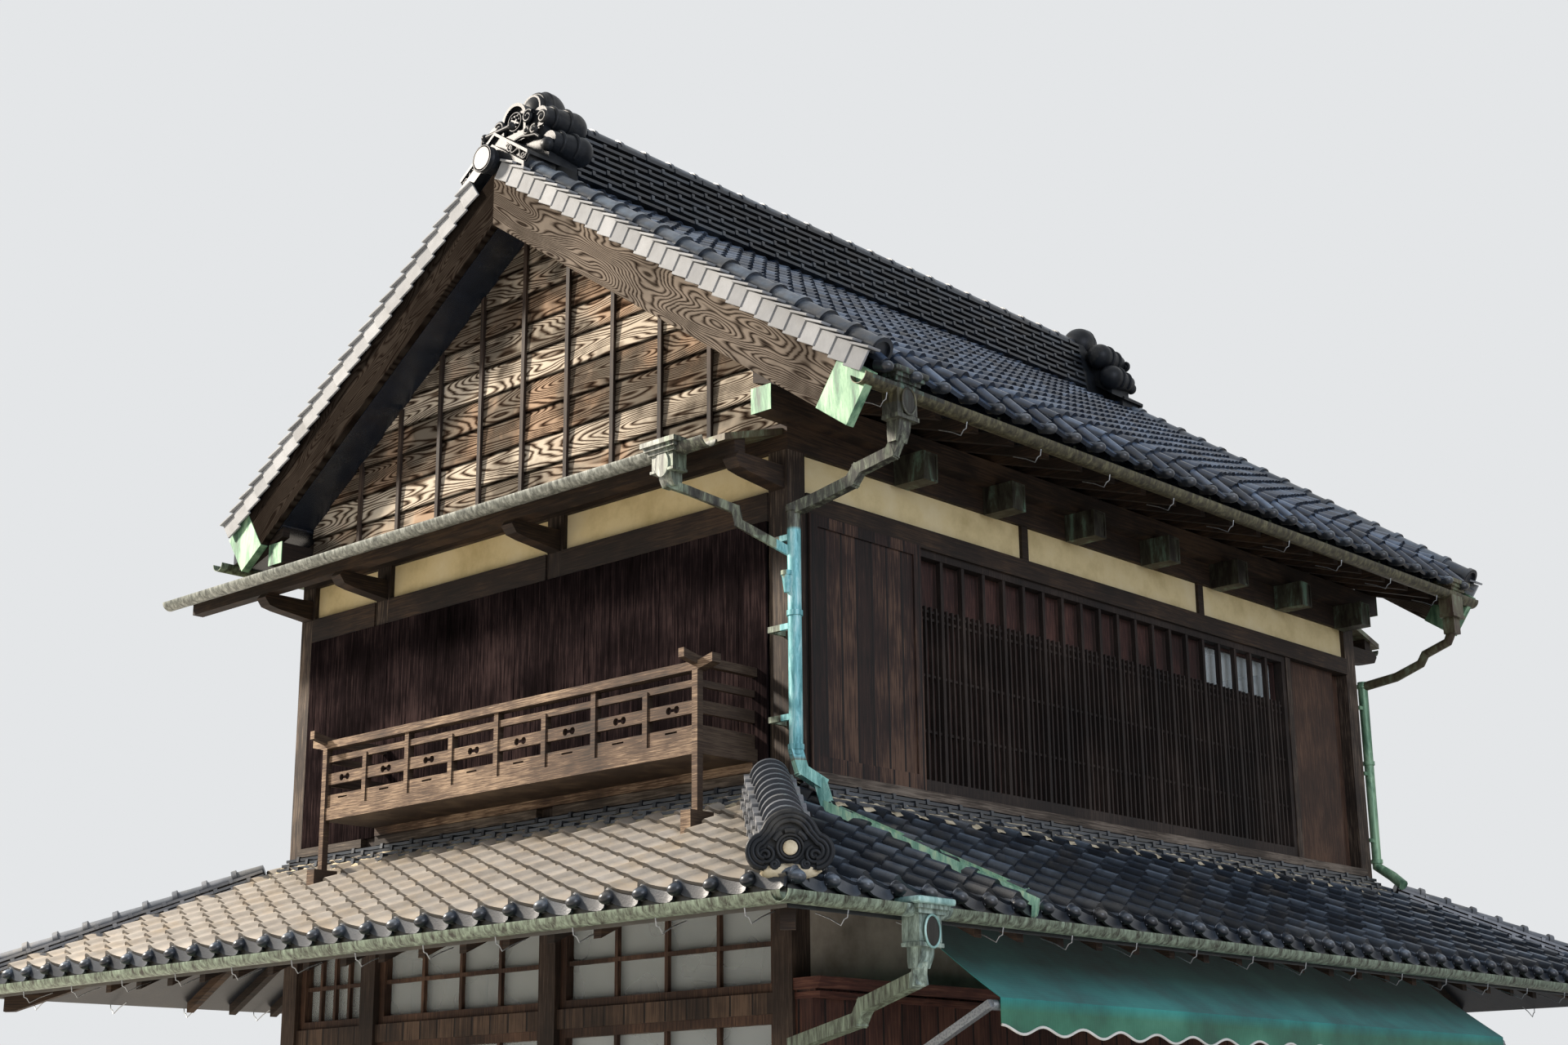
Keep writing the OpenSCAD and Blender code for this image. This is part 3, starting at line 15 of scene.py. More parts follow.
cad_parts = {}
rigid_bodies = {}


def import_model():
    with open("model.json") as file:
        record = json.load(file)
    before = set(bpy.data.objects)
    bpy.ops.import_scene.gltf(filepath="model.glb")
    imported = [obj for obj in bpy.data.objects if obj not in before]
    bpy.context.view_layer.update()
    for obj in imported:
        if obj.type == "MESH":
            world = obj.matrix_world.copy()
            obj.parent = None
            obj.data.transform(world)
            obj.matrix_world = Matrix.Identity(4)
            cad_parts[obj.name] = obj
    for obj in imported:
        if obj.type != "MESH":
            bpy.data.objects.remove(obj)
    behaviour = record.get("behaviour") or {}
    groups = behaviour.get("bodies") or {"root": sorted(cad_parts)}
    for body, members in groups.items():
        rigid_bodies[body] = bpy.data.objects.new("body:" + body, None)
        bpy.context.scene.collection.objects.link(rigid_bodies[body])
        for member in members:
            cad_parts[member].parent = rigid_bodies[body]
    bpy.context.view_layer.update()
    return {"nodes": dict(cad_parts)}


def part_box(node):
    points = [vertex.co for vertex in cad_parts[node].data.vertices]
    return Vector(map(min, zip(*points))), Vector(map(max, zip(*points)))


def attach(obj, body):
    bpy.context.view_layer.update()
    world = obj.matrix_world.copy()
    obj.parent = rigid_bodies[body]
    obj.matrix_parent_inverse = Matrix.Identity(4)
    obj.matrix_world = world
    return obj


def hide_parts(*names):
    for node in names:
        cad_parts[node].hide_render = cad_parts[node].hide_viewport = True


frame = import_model()
nodes = frame["nodes"]

# %% [markdown]
# ## The camera
# The photograph was taken from the street at eye height, close to the corner, and tilted up. The
# numbers below were solved from points on the posts, sills and eaves: a heading turned 42.7
# degrees from +X towards +Y, a pitch of 16.2 degrees up and a slight roll. A camera looks along
# its own -Z, so its matrix is built from the three directions right, up and back.

# %% Camera
heading, pitch, roll = math.radians(42.73), math.radians(16.162), math.radians(-0.538)
ahead = Vector((math.cos(pitch) * math.cos(heading), math.cos(pitch) * math.sin(heading), math.sin(pitch)))
level_right = Vector((math.sin(heading), -math.cos(heading), 0))
level_up = level_right.cross(ahead)
right = level_right * math.cos(roll) + level_up * math.sin(roll)
up = level_up * math.cos(roll) - level_right * math.sin(roll)
view = bpy.data.cameras.new("street_view")
focal_px, photo_px, sensor_mm = 2749.4, 1920, 36
view.sensor_width = sensor_mm
view.lens = focal_px / photo_px * sensor_mm
camera = bpy.data.objects.new("street_view", view)
bpy.context.scene.collection.objects.link(camera)
turn = Matrix((right, up, -ahead)).transposed().to_4x4()
eye = (-7.952, -7.320, 1.600)
camera.matrix_world = Matrix.Translation(eye) @ turn
view.clip_end = 200
bpy.context.scene.camera = camera
print("camera lens", round(view.lens, 1), "mm")

# %% [markdown]
# ## Colour and node helpers
# Colours are written as the sRGB hex values a designer would pick, but shaders count in linear
# light, so one function converts them. A second function adds any shader node with its options
# and its links, which keeps each finish below to a few readable lines. It shares with the
# Principled shader the small function that fills sockets: a number or colour that is the same all
# over goes straight onto the socket, and a pattern is linked to it.

# %% Helpers for finishes
def linear(hex_colour):
    parts = [int(hex_colour[i:i + 2], 16) / 255 for i in (1, 3, 5)]
    return tuple(p / 12.92 if p <= 0.04045 else ((p + 0.055) / 1.055) ** 2.4 for p in parts) + (1.0,)


def fill(tree, node, *numbered, **named):
    """Fills the sockets of a node: in order, by number (n6) or by name (Base_Color)."""
    sockets = list(enumerate(numbered))
    for key, value in named.items():
        sockets.append((int(key[1:]) if key[1:].isdigit() else key.replace("_", " "), value))
    for key, value in sockets:
        if isinstance(value, bpy.types.NodeSocket):
            tree.links.new(value, node.inputs[key])
        else:
            node.inputs[key].default_value = value


def add(tree, kind, *numbered, stops=(), **named):
    """Adds one node and returns its outputs. A small first letter marks one of the node's own
    options, the rest are sockets; stops are the (position, hex colour) pairs of a colour ramp."""
    made = tree.nodes.new("ShaderNode" + kind)
    for key in [key for key in named if key[0].islower() and not key[1:].isdigit()]:
        setattr(made, key, named.pop(key))
    if stops:
        bands = made.color_ramp.elements
        while len(bands) < len(stops):
            bands.new(0.5)
        for band, (position, colour) in zip(bands, stops):
            band.position = position
            band.color = linear(colour)
    fill(tree, made, *numbered, **named)
    return made.outputs


def new_finish(name):
    """An empty material: itself, its node tree, its Principled shader and object coordinates."""
    finish = bpy.data.materials.new(name)
    finish.use_nodes = True
    tree = finish.node_tree
    return finish, tree, tree.nodes["Principled BSDF"], add(tree, "TexCoord")["Object"]


# %% [markdown]
# ## Floor, light and background
# A plain pale floor keeps the shadow of the house. The world gives even studio light, and a soft
# key lamp stands high on the left and a little behind the house, because in the photograph the
# sun grazes the gable, lights the near roof and leaves the long front in shade. What the camera
# sees behind the house is a plain pale grey, made by Light Path. Reflections and glass see the
# same grey, which is brighter than the studio light, so it brightens them but lights nothing else.

# %% Floor and light
bpy.context.scene.view_settings.view_transform = "Standard"
bpy.ops.object.select_all(action="DESELECT")
bpy.ops.mesh.primitive_plane_add(size=160, location=(2, 2, -0.001))
floor = bpy.context.object
floor.name = "studio_floor"
floor_finish, tree, shader, place = new_finish("matte_studio_floor")
speckle = add(tree, "TexNoise", Vector=place, Scale=3.0, Detail=2.0)["Fac"]
fill(tree, shader,
     Base_Color=add(tree, "ValToRGB", speckle, stops=[(0.3, "#D6D3CE"), (0.7, "#DBD8D3")])["Color"],
     Roughness=0.9, Specular_IOR_Level=0.1)
floor.data.materials.append(floor_finish)

world = bpy.data.worlds.new("studio_world")
bpy.context.scene.world = world
world.use_nodes = True
tree = world.node_tree
light = tree.nodes["Background"]
fill(tree, light, Color=linear("#F2F4F7"), Strength=0.42)
backdrop = add(tree, "Background", Color=linear("#E4E6E8"), Strength=1.0)[0]
path = add(tree, "LightPath")
seen = add(tree, "Math", path["Is Camera Ray"], path["Is Glossy Ray"], operation="MAXIMUM")[0]
seen = add(tree, "Math", seen, path["Is Transmission Ray"], operation="MAXIMUM")[0]
mixed = add(tree, "MixShader", seen, light.outputs[0], backdrop)[0]
fill(tree, tree.nodes["World Output"], Surface=mixed)


def soft_lamp(name, place, target, size, power, colour):
    data = bpy.data.lights.new(name, "AREA")
    data.size = size
    data.energy = power
    data.color = linear(colour)[:3]
    lamp = bpy.data.objects.new(name, data)
    bpy.context.scene.collection.objects.link(lamp)
    lamp.location = place
    lamp.rotation_euler = (Vector(target) - Vector(place)).to_track_quat("-Z", "Y").to_euler()
    return lamp


soft_lamp("key_lamp", (-10.0, 18.0, 16.0), (0, 1.5, 4.5), 2.4, 11500, "#FFF4E6")
soft_lamp("fill_lamp", (-4, -20, 11), (3, 0, 4), 12, 2100, "#E4ECFF")
print("floor, world and two lamps")

# %% [markdown]
# ## Measures of the house
# The slopes, corners and edges below repeat the ones of the solids, in metres, so that tiles and
# boards land on them.

# %% Measures
house_w, house_d = 5.7, 4.12
roof_slope, apex_y = 0.69, 2.06
apex_z = 5.889 + roof_slope * apex_y
roof_x0, roof_x1 = -0.2147, 5.9147
# the eave tiles reach 0.1 m past the front slab, over the gutter
front_eave, back_eave, slab_eave = 0.79, 0.47, 0.69
skirt_front, skirt_side, skirt_low, skirt_high = 1.132, 1.255, 2.738, 3.34
upper_gutter_z, skirt_gutter_z = 5.262, 2.688
# the edge of the verge outside each gable, and the back face of the heads on the front gutter
verge_out, eave_head_y = 0.284, -0.6903


def roof_z(y):
    return apex_z - roof_slope * abs(y - apex_y)


print("ridge line at", round(apex_z, 3), "m")

# %% [markdown]
# ## Timber
# Most of the house is softwood that has stood in the weather for decades. The soft spring wood
# wears away and the dark lines stand up, so the grain is a relief as well as a colour. A wave or
# noise pattern stretched along the length of the board gives that. Boards and posts are cut with
# their grain along their length, so each finish says which way it runs: a small scale along the
# grain and a large one across it. A broad soft noise adds the damp and sun-bleached patches. One
# function makes all the timbers, since only the colours, the grain direction and the width of the
# grain differ.

# %% Timber finishes
def timber(name, deep, face, pale, along, grain_mm=9, relief_mm=1.2, rough=0.72, patch=0.5, twist=0.5,
           board=0.0,
           shine=0.3, painted_shade_colour=None):
    """board is the width in metres of upright boards, whose joints and tints are then drawn too.
    The last argument gives painted shade: the faces that look neither up nor towards -x take its
    colour, and only tops and -x sides keep the timber's own colours."""
    finish, tree, shader, place = new_finish(name)
    across = 1000 / grain_mm
    stretch = [across if axis not in along else across * 0.035 * (1 + twist / 2) for axis in "xyz"]
    turned = add(tree, "Mapping", Vector=place, Scale=stretch)[0]
    grain = add(tree, "TexNoise", Vector=turned, Scale=1.0, Detail=5.0, Roughness=0.62,
                Distortion=twist)["Fac"]
    weather = add(tree, "TexNoise", Vector=place, Scale=1.6, Detail=4.0, Roughness=0.6)["Fac"]
    both = add(tree, "Math", weather, patch, add(tree, "Math", grain, 1 - patch, operation="MULTIPLY")[0],
               operation="MULTIPLY_ADD")[0]
    relief = grain
    if board:
        # x + y runs along any wall of the house, because each wall keeps one of the two constant
        axes = add(tree, "SeparateXYZ", Vector=place)
        run = add(tree, "Math", axes[0], axes[1], operation="ADD")[0]
        boards = add(tree, "Math", run, board, operation="DIVIDE")[0]
        number = add(tree, "Math", boards, operation="FLOOR")[0]
        own = add(tree, "TexWhiteNoise", W=number, noise_dimensions="1D")["Value"]
        edge = add(tree, "Math", boards, 0.5, operation="PINGPONG")[0]
        joint = add(tree, "MapRange", edge, 0.003 / board, 0.008 / board, 0.0, 1.0)[0]
        both = add(tree, "Math", own, 0.13, add(tree, "Math", both, 0.065, operation="SUBTRACT")[0],
                   operation="MULTIPLY_ADD")[0]
        both = add(tree, "Math", joint, 0.3, add(tree, "Math", both, 0.3, operation="SUBTRACT")[0],
                   operation="MULTIPLY_ADD")[0]
        relief = add(tree, "Math", joint, 2.0, grain, operation="MULTIPLY_ADD")[0]
    colour = add(tree, "ValToRGB", both, stops=[(0.36, deep), (0.5, face), (0.62, pale)])["Color"]
    # painted shade on the faces that turn away from the key lamp's side
    if painted_shade_colour:
        facing = add(tree, "SeparateXYZ", Vector=add(tree, "NewGeometry")["Normal"])
        outer = add(tree, "Math", facing[0], -1.0, operation="MULTIPLY")[0]
        sunny = add(tree, "Math", outer, facing[2], operation="MAXIMUM")[0]
        shaded = add(tree, "MapRange", sunny, 0.3, 0.7, 0.85, 0.0)[0]
        colour = add(tree, "Mix", shaded, n6=colour, n7=linear(painted_shade_colour), data_type="RGBA")[2]
    fill(tree, shader, Base_Color=colour, Roughness=rough, Specular_IOR_Level=shine,
         Normal=add(tree, "Bump", Height=relief, Distance=relief_mm / 1000)["Normal"])
    return finish


def figured_plank(name, deep, face, pale, board, foot, rings, long, slope=0.0, rusty=0.55, dirt=0.75,
                  relief_mm=2.0):
    """Wide planks show nested loops like the lines of a map, because the saw cuts across the rings.
    The loops are the level lines of a soft noise. board and foot tell one plank from the next;
    slope turns the planks to run with the roof on both sides of the ridge, and paints shade nearly
    black on the boards behind the ridge line."""
    finish, tree, shader, place = new_finish(name)
    axes = add(tree, "SeparateXYZ", Vector=place)
    along, height = axes[1], axes[2]
    if slope:
        lean = math.atan(slope)
        offset = add(tree, "Math", axes[1], apex_y, operation="SUBTRACT")[0]
        away = add(tree, "Math", offset, operation="ABSOLUTE")[0]
        sign = add(tree, "Math", offset, operation="SIGN")[0]
        side = add(tree, "Math", sign, 7.0, operation="MULTIPLY")[0]
        along = add(tree, "Math", away, math.cos(lean),
                    add(tree, "Math", axes[2], -math.sin(lean), side, operation="MULTIPLY_ADD")[0],
                    operation="MULTIPLY_ADD")[0]
        height = add(tree, "Math", axes[2], math.cos(lean),
                     add(tree, "Math", away, math.sin(lean), operation="MULTIPLY")[0],
                     operation="MULTIPLY_ADD")[0]
    planks = add(tree, "Math", add(tree, "Math", height, foot, operation="SUBTRACT")[0], board,
                 operation="DIVIDE")[0]
    number = add(tree, "Math", planks, operation="FLOOR")[0]
    spot = add(tree, "CombineXYZ", add(tree, "Math", along, long, operation="MULTIPLY")[0],
               add(tree, "Math", height, 5.5, operation="MULTIPLY")[0],
               add(tree, "Math", number, 3.71, operation="MULTIPLY")[0])[0]
    field = add(tree, "TexNoise", Vector=spot, Scale=1.0, Detail=1.6, Roughness=0.42)["Fac"]
    loops = add(tree, "Math", add(tree, "Math", field, rings, operation="MULTIPLY")[0], 0.5,
                operation="PINGPONG")[0]
    thread = add(tree, "CombineXYZ", add(tree, "Math", along, 5.0, operation="MULTIPLY")[0],
                 add(tree, "Math", height, 170.0, operation="MULTIPLY")[0], number)[0]
    fine = add(tree, "TexNoise", Vector=thread, Scale=1.0, Detail=3.0, Roughness=0.6)["Fac"]
    figure = add(tree, "Math", fine, 0.5, add(tree, "Math", loops, 1.2, operation="MULTIPLY")[0],
                 operation="MULTIPLY_ADD")[0]
    own = add(tree, "TexWhiteNoise", W=number, noise_dimensions="1D")["Value"]
    weather = add(tree, "TexNoise", Vector=place, Scale=1.9, Detail=4.0, Roughness=0.6)["Fac"]
    colour = add(tree, "ValToRGB", figure, stops=[(0.24, deep), (0.40, face), (0.66, pale)])["Color"]
    rust = add(tree, "MapRange",
               add(tree, "Math", weather, add(tree, "Math", own, 0.25, operation="MULTIPLY")[0],
                   operation="ADD")[0], 0.62, 0.78, 0.0, rusty)[0]
    colour = add(tree, "Mix", rust, n6=colour, n7=linear("#B8875C"), data_type="RGBA",
                 blend_type="MULTIPLY")[2]
    grime = add(tree, "Math", weather, add(tree, "Math", own, 0.22, operation="MULTIPLY")[0],
                operation="SUBTRACT")[0]
    grimy = add(tree, "MapRange", grime, 0.30, 0.46, dirt, 0.0)[0]
    colour = add(tree, "Mix", grimy, n6=colour, n7=linear("#1D1510"), data_type="RGBA")[2]
    if slope:
        # painted shade: the boards behind the ridge line, under the verge, are made nearly black
        back_board_shade = add(tree, "MapRange", axes[1], apex_y - 0.005, apex_y + 0.005, 0.0, 0.9)[0]
        colour = add(tree, "Mix", back_board_shade, n6=colour, n7=linear("#140F0C"), data_type="RGBA")[2]
    edge = add(tree, "Math", planks, 0.5, operation="PINGPONG")[0]
    seam = add(tree, "MapRange", edge, 0.004 / board, 0.014 / board, 0.85, 0.0)[0]
    colour = add(tree, "Mix", seam, n6=colour, n7=linear("#120D0A"), data_type="RGBA")[2]
    fill(tree, shader, Base_Color=colour, Roughness=0.7, Specular_IOR_Level=0.0,
         Normal=add(tree, "Bump", Height=figure, Distance=relief_mm / 1000)["Normal"])
    return finish


upright_dark = timber("stained_cedar_upright", "#14100C", "#2C211A", "#4E4036", "z")
level_dark = timber("stained_cedar_level", "#130F0B", "#281E17", "#473627", "xy")
post_finish = timber("weathered_cedar_post", "#130F0D", "#30261F", "#6E5F51", "z", grain_mm=10)
level_pale = timber("weathered_cedar_sill", "#201B17", "#453C34", "#7C7165", "xy")
barge_finish = figured_plank("weathered_bargeboard", "#1E1915", "#4E463E", "#857B70", 5.0, 3.0, 44.0, 1.1,
                             slope=roof_slope, rusty=0.1, dirt=0.5)
# the railing's faces that look neither up nor towards -x take painted shade
rail_finish = timber("sunlit_cedar_railing", "#221912", "#5A4636", "#A68E74", "xy", grain_mm=6, relief_mm=0.6,
                     painted_shade_colour="#241A13")
lattice_finish = timber("lattice_cedar", "#0C0908", "#1F1713", "#3A302A", "z", grain_mm=6)
sash_finish = timber("red_brown_sash", "#150B09", "#35211D", "#563A32", "z", grain_mm=7)
# very dark: the boards' own dark stain, deepened by painted shade of the pent eave
board_finish = timber("dark_plum_boards", "#0A0808", "#1D1718", "#3C302F", "z", grain_mm=11, relief_mm=0.8,
                      shine=0.0)
shutter_finish = timber("shutter_box_boards", "#100B09", "#2A1C18", "#5C4638", "z", grain_mm=10,
                        relief_mm=1.5, board=0.12)
gable_finish = figured_plank("raised_grain_gable_boards", "#1A130F", "#6C5D4F", "#CDC1AF", 0.1812, 5.264,
                             34.0, 0.75)
ground_board_finish = timber("brown_dado_boards", "#1A130F", "#3D2F25", "#5F4C3D", "z", grain_mm=14,
                             board=0.15)
fascia_finish = timber("red_brown_fascia_boards", "#1A0F0C", "#422821", "#603F31", "z", grain_mm=10,
                       board=0.14)
cornice_finish = timber("red_brown_cornice", "#1C0F0C", "#4A2A22", "#6E4A3B", "xy", grain_mm=10)
joinery_finish = timber("brown_door_joinery", "#1A120D", "#3B291F", "#5E4636", "z", grain_mm=7)
print("timber finishes ready")

# %% [markdown]
# ## Plaster, stone, glass and metal
# The plaster is lime with a trace of clay: cream, matte and slightly cloudy, with rain marks. The
# plinth is dressed stone. Sheet copper starts brown, then turns olive and pale green where water
# runs over it, so its colour follows a noise stretched downwards. The awning tube is galvanised
# steel with its dull spangle. Clear glass is a thin sheet with a little reflection.

# %% Mineral, metal and glass finishes
plaster, tree, shader, place = new_finish("cream_lime_plaster")
clouds = add(tree, "TexNoise", Vector=place, Scale=2.2, Detail=6.0, Roughness=0.65)["Fac"]
sand = add(tree, "TexNoise", Vector=place, Scale=220.0, Detail=3.0)["Fac"]
fill(tree, shader,
     Base_Color=add(tree, "ValToRGB", clouds,
                    stops=[(0.3, "#BBA877"), (0.5, "#DCCA9A"), (0.72, "#E6D8B2")])["Color"], Roughness=0.92,
     Normal=add(tree, "Bump", Height=sand, Distance=0.0006)["Normal"])


def mottled(name, stops, rough, relief, **noise):
    """A mineral or cotton finish: one cloudy noise gives both its colour and its relief, in metres."""
    finish, tree, shader, place = new_finish(name)
    clouds = add(tree, "TexNoise", Vector=place, **noise)["Fac"]
    fill(tree, shader, Base_Color=add(tree, "ValToRGB", clouds, stops=stops)["Color"], Roughness=rough,
         Normal=add(tree, "Bump", Height=clouds, Distance=relief)["Normal"])
    return finish


grey_plaster = mottled("grey_lime_plaster", [(0.3, "#7F766A"), (0.5, "#ACA294"), (0.72, "#C6BDAF")], 0.92,
                       0.0015, Scale=1.7, Detail=6.0, Roughness=0.65)

stone = mottled("dressed_granite", [(0.3, "#5F5C58"), (0.5, "#8B8781"), (0.7, "#A9A49C")], 0.85, 0.0015,
                Scale=60.0, Detail=6.0, Roughness=0.7)


def aged_copper(name, brown, olive, green, amount, rough=0.5):
    """Sheet copper; amount moves the balance from brown metal to pale green patina."""
    finish, tree, shader, place = new_finish(name)
    runs = add(tree, "Mapping", Vector=place, Scale=(9, 9, 2.2))[0]
    bloom = add(tree, "TexNoise", Vector=runs, Scale=1.4, Detail=7.0, Roughness=0.68, Distortion=0.4)["Fac"]
    fill(tree, shader,
         Base_Color=add(tree, "ValToRGB", bloom,
                        stops=[(0.36 - amount, brown), (0.5 - amount, olive),
                               (0.64 - amount, green)])["Color"], Metallic=0.25, Roughness=rough,
         Normal=add(tree, "Bump", Height=bloom, Distance=0.001)["Normal"])
    return finish


green_copper = aged_copper("green_patina_copper", "#37443A", "#557C61", "#8FB290", 0.04)
brown_copper = aged_copper("weathered_copper_sheet", "#43352A", "#5F5C46", "#84927A", -0.02)
beam_copper = aged_copper("dark_copper_beam_caps", "#231E18", "#45453A", "#6B8775", -0.04)


def zone(tree, place, low_corner, high_corner):
    """The value 1 inside a box of the house, 0 outside; it tells one length of pipe from the next."""
    middle = [(p + q) / 2 for p, q in zip(low_corner, high_corner)]
    half = [(q - p) / 2 for p, q in zip(low_corner, high_corner)]
    away = add(tree, "VectorMath", place, middle, operation="SUBTRACT")[0]
    away = add(tree, "VectorMath", away, half, operation="DIVIDE")[0]
    away = add(tree, "VectorMath", away, operation="ABSOLUTE")[0]
    parts = add(tree, "SeparateXYZ", Vector=away)
    most = add(tree, "Math", parts[0], parts[1], operation="MAXIMUM")[0]
    most = add(tree, "Math", most, parts[2], operation="MAXIMUM")[0]
    return add(tree, "MapRange", most, 0.97, 1.0, 1.0, 0.0)[0]


pipe_copper, tree, shader, place = new_finish("patched_copper_rainwater_pipes")
runs = add(tree, "Mapping", Vector=place, Rotation=(0.35, 0.5, 0), Scale=(24, 24, 4.5))[0]
bloom = add(tree, "TexNoise", Vector=runs, Scale=1.5, Detail=7.0, Roughness=0.68, Distortion=0.4)["Fac"]
paint = add(tree, "ValToRGB", bloom, stops=[(0.36, "#2E2A20"), (0.47, "#5E6858"), (0.64, "#8E9E8A")])["Color"]
for low_corner, high_corner, shades in (
        ((-0.9, 0.3, 4.9), (-0.3, 5.4, 5.24), ("#3E403B", "#767A72", "#A9ACA4")),
        ((-0.9, -1.2, 4.62), (0.3, 0.3, 5.24), ("#1F1E1B", "#45463E", "#7E8672")),
        ((-0.40, -0.84, 5.17), (6.2, -0.64, 5.30), ("#211D15", "#494532", "#706D52")),
        ((-0.25, -0.96, 5.24), (0.3, -0.6, 5.6), ("#1B1A17", "#34352F", "#5E7468")),
        ((-0.16, -0.30, 3.50), (-0.02, -0.04, 4.66), ("#3A767C", "#6FAFB4", "#ABD3D5")),
        ((-0.16, -0.5, 3.20), (0.2, -0.02, 3.50), ("#4A7F78", "#7FB3A8", "#B0D8C9")),
        ((-0.1, -1.22, 2.70), (0.60, -0.24, 3.42), ("#6C9A82", "#97C2A6", "#CBDFB4")),
        ((-0.62, -1.5, 2.3), (-0.31, -1.1, 2.84), ("#3E4843", "#718279", "#AFC2B8"))):
    shade = add(tree, "ValToRGB", bloom, stops=list(zip((0.34, 0.5, 0.66), shades)))["Color"]
    paint = add(tree, "Mix", zone(tree, place, low_corner, high_corner), n6=paint, n7=shade,
                data_type="RGBA")[2]
fill(tree, shader, Base_Color=paint, Metallic=0.2, Roughness=0.5,
     Normal=add(tree, "Bump", Height=bloom, Distance=0.001)["Normal"])

tube_steel, tree, shader, place = new_finish("galvanised_steel_tube")
spangle = add(tree, "TexVoronoi", Vector=place, Scale=90.0)["Distance"]
fill(tree, shader,
     Base_Color=add(tree, "ValToRGB", spangle, stops=[(0.2, "#84888C"), (0.6, "#A4A8AB")])["Color"],
     Metallic=0.8, Roughness=0.45)

glass, tree, shader, place = new_finish("clear_sheet_glass")
ripple = add(tree, "TexNoise", Vector=place, Scale=2.5, Detail=1.0)["Fac"]
fill(tree, shader,
     Base_Color=add(tree, "ValToRGB", ripple, stops=[(0.3, "#C9D2D2"), (0.7, "#D8E0DF")])["Color"],
     Roughness=0.05, Alpha=0.35, IOR=1.5, Normal=add(tree, "Bump", Height=ripple, Distance=0.0008)["Normal"])
print("plaster, stone, copper, steel and glass ready")

# %% [markdown]
# ## Smoked roof tile
# The tiles are clay fired in smoke, which leaves a skin of carbon: blue-grey with a dull silver
# sheen, and each tile a little lighter or darker than the next. Every tile laid below carries its
# own number from 0 to 1 in an attribute called tint, and the finish reads it, so no two
# neighbours match. Rain dust makes the upper faces warmer, and painted shade darkens the butts
# and edges, which do not face up.

# %% Tile finish
def smoked_tile(name, dark, middle, light, dust, dust_share, butt_shade=0.75, rough=0.42, shine=0.6):
    finish, tree, shader, place = new_finish(name)
    tint = add(tree, "Attribute", attribute_name="tint")["Fac"]
    skin = add(tree, "TexNoise", Vector=place, Scale=14.0, Detail=5.0, Roughness=0.6)["Fac"]
    value = add(tree, "Math", tint, 0.48, add(tree, "Math", skin, 0.52, operation="MULTIPLY")[0],
                operation="MULTIPLY_ADD")[0]
    clay = add(tree, "ValToRGB", value, stops=[(0.1, dark), (0.5, middle), (0.9, light)])["Color"]
    blotch = add(tree, "TexNoise", Vector=place, Scale=3.1, Detail=6.0, Roughness=0.7)["Fac"]
    share = add(tree, "MapRange", blotch, 0.5, 0.72, 0.0, dust_share)[0]
    colour = add(tree, "Mix", share, n6=clay, n7=linear(dust), data_type="RGBA")[2]
    # painted shade: faces that do not look up, the butts and edges, are darkened
    facing = add(tree, "SeparateXYZ", Vector=add(tree, "NewGeometry")["Normal"])[2]
    butt_shade_mix = add(tree, "MapRange", facing, 0.2, 0.5, butt_shade, 0.0)[0]
    colour = add(tree, "Mix", butt_shade_mix, n6=colour, n7=linear("#14161A"), data_type="RGBA")[2]
    grain = add(tree, "TexNoise", Vector=place, Scale=120.0, Detail=3.0)["Fac"]
    fill(tree, shader, Base_Color=colour, Roughness=rough, Specular_IOR_Level=shine,
         Normal=add(tree, "Bump", Height=grain, Distance=0.0005)["Normal"])
    return finish


tile = smoked_tile("smoked_clay_tile", "#12171F", "#39434F", "#7B8896", "#7C7466", 0.45, rough=0.34)
# the main roof is bluer than the other tiles: painted reflection of the sky
roof_finish = smoked_tile("sky_lit_roof_tile", "#151C28", "#3B495D", "#7F91A8", "#807A6C", 0.3, rough=0.26)
# the near skirt gets a paler, warmer copy of the tile: painted sunlight
sunlit_tile = smoked_tile("sunlit_smoked_tile", "#8A847B", "#BAB1A4", "#DED6C9", "#C4AC88", 0.5)
ornament_tile = smoked_tile("polished_black_ornament_tile", "#0F1114", "#2A2E33", "#4E545B", "#8E8A80", 0.3,
                            0.2, 0.42, shine=0.2)
print("tile finishes ready")

# %% [markdown]
# ## Finishes on the solids
# Each CAD solid keeps its shape and gets one finish, chosen by which way its pieces run.

# %% Give each solid its finish
finish_of = {
    "stone_plinth": stone, "ground_posts": upright_dark, "ground_beams": level_dark,
    "shop_doors": joinery_finish, "shop_plaster": grey_plaster, "shop_fascia": fascia_finish,
    "ground_walls": ground_board_finish, "side_windows": joinery_finish, "window_glass": glass,
    "skirt_roof_front": tile, "skirt_roof_near": sunlit_tile, "skirt_roof_far": tile,
    "skirt_roof_back": tile, "skirt_rafters": level_dark, "flashing_courses": tile,
    "hip_ridges": tile, "upper_floor": level_dark, "upper_posts": post_finish,
    "upper_walls": board_finish, "sill_boards": level_pale, "head_beams": level_dark,
    "plaster_strips": plaster, "wall_plates": level_dark, "shutter_box": shutter_finish,
    "front_lattice": lattice_finish, "front_sashes": sash_finish, "reed_screen": joinery_finish,
    "beam_ends": beam_copper, "eave_purlins": level_dark, "eave_rafters": level_dark,
    "front_roof": roof_finish, "back_roof": roof_finish, "gable_walls": gable_finish,
    "bargeboards": barge_finish, "copper_caps": green_copper, "ridge_stack": tile,
    "end_tiles": ornament_tile, "pent_eaves": brown_copper, "pent_brackets": level_dark,
    "balcony": rail_finish, "gutters": pipe_copper, "awning_cloth": plaster,
    "awning_frame": tube_steel}
for name, finish in finish_of.items():
    solid = nodes[name]
    solid.data.materials.clear()
    solid.data.materials.append(finish)
print("finishes on", len(finish_of), "solids")

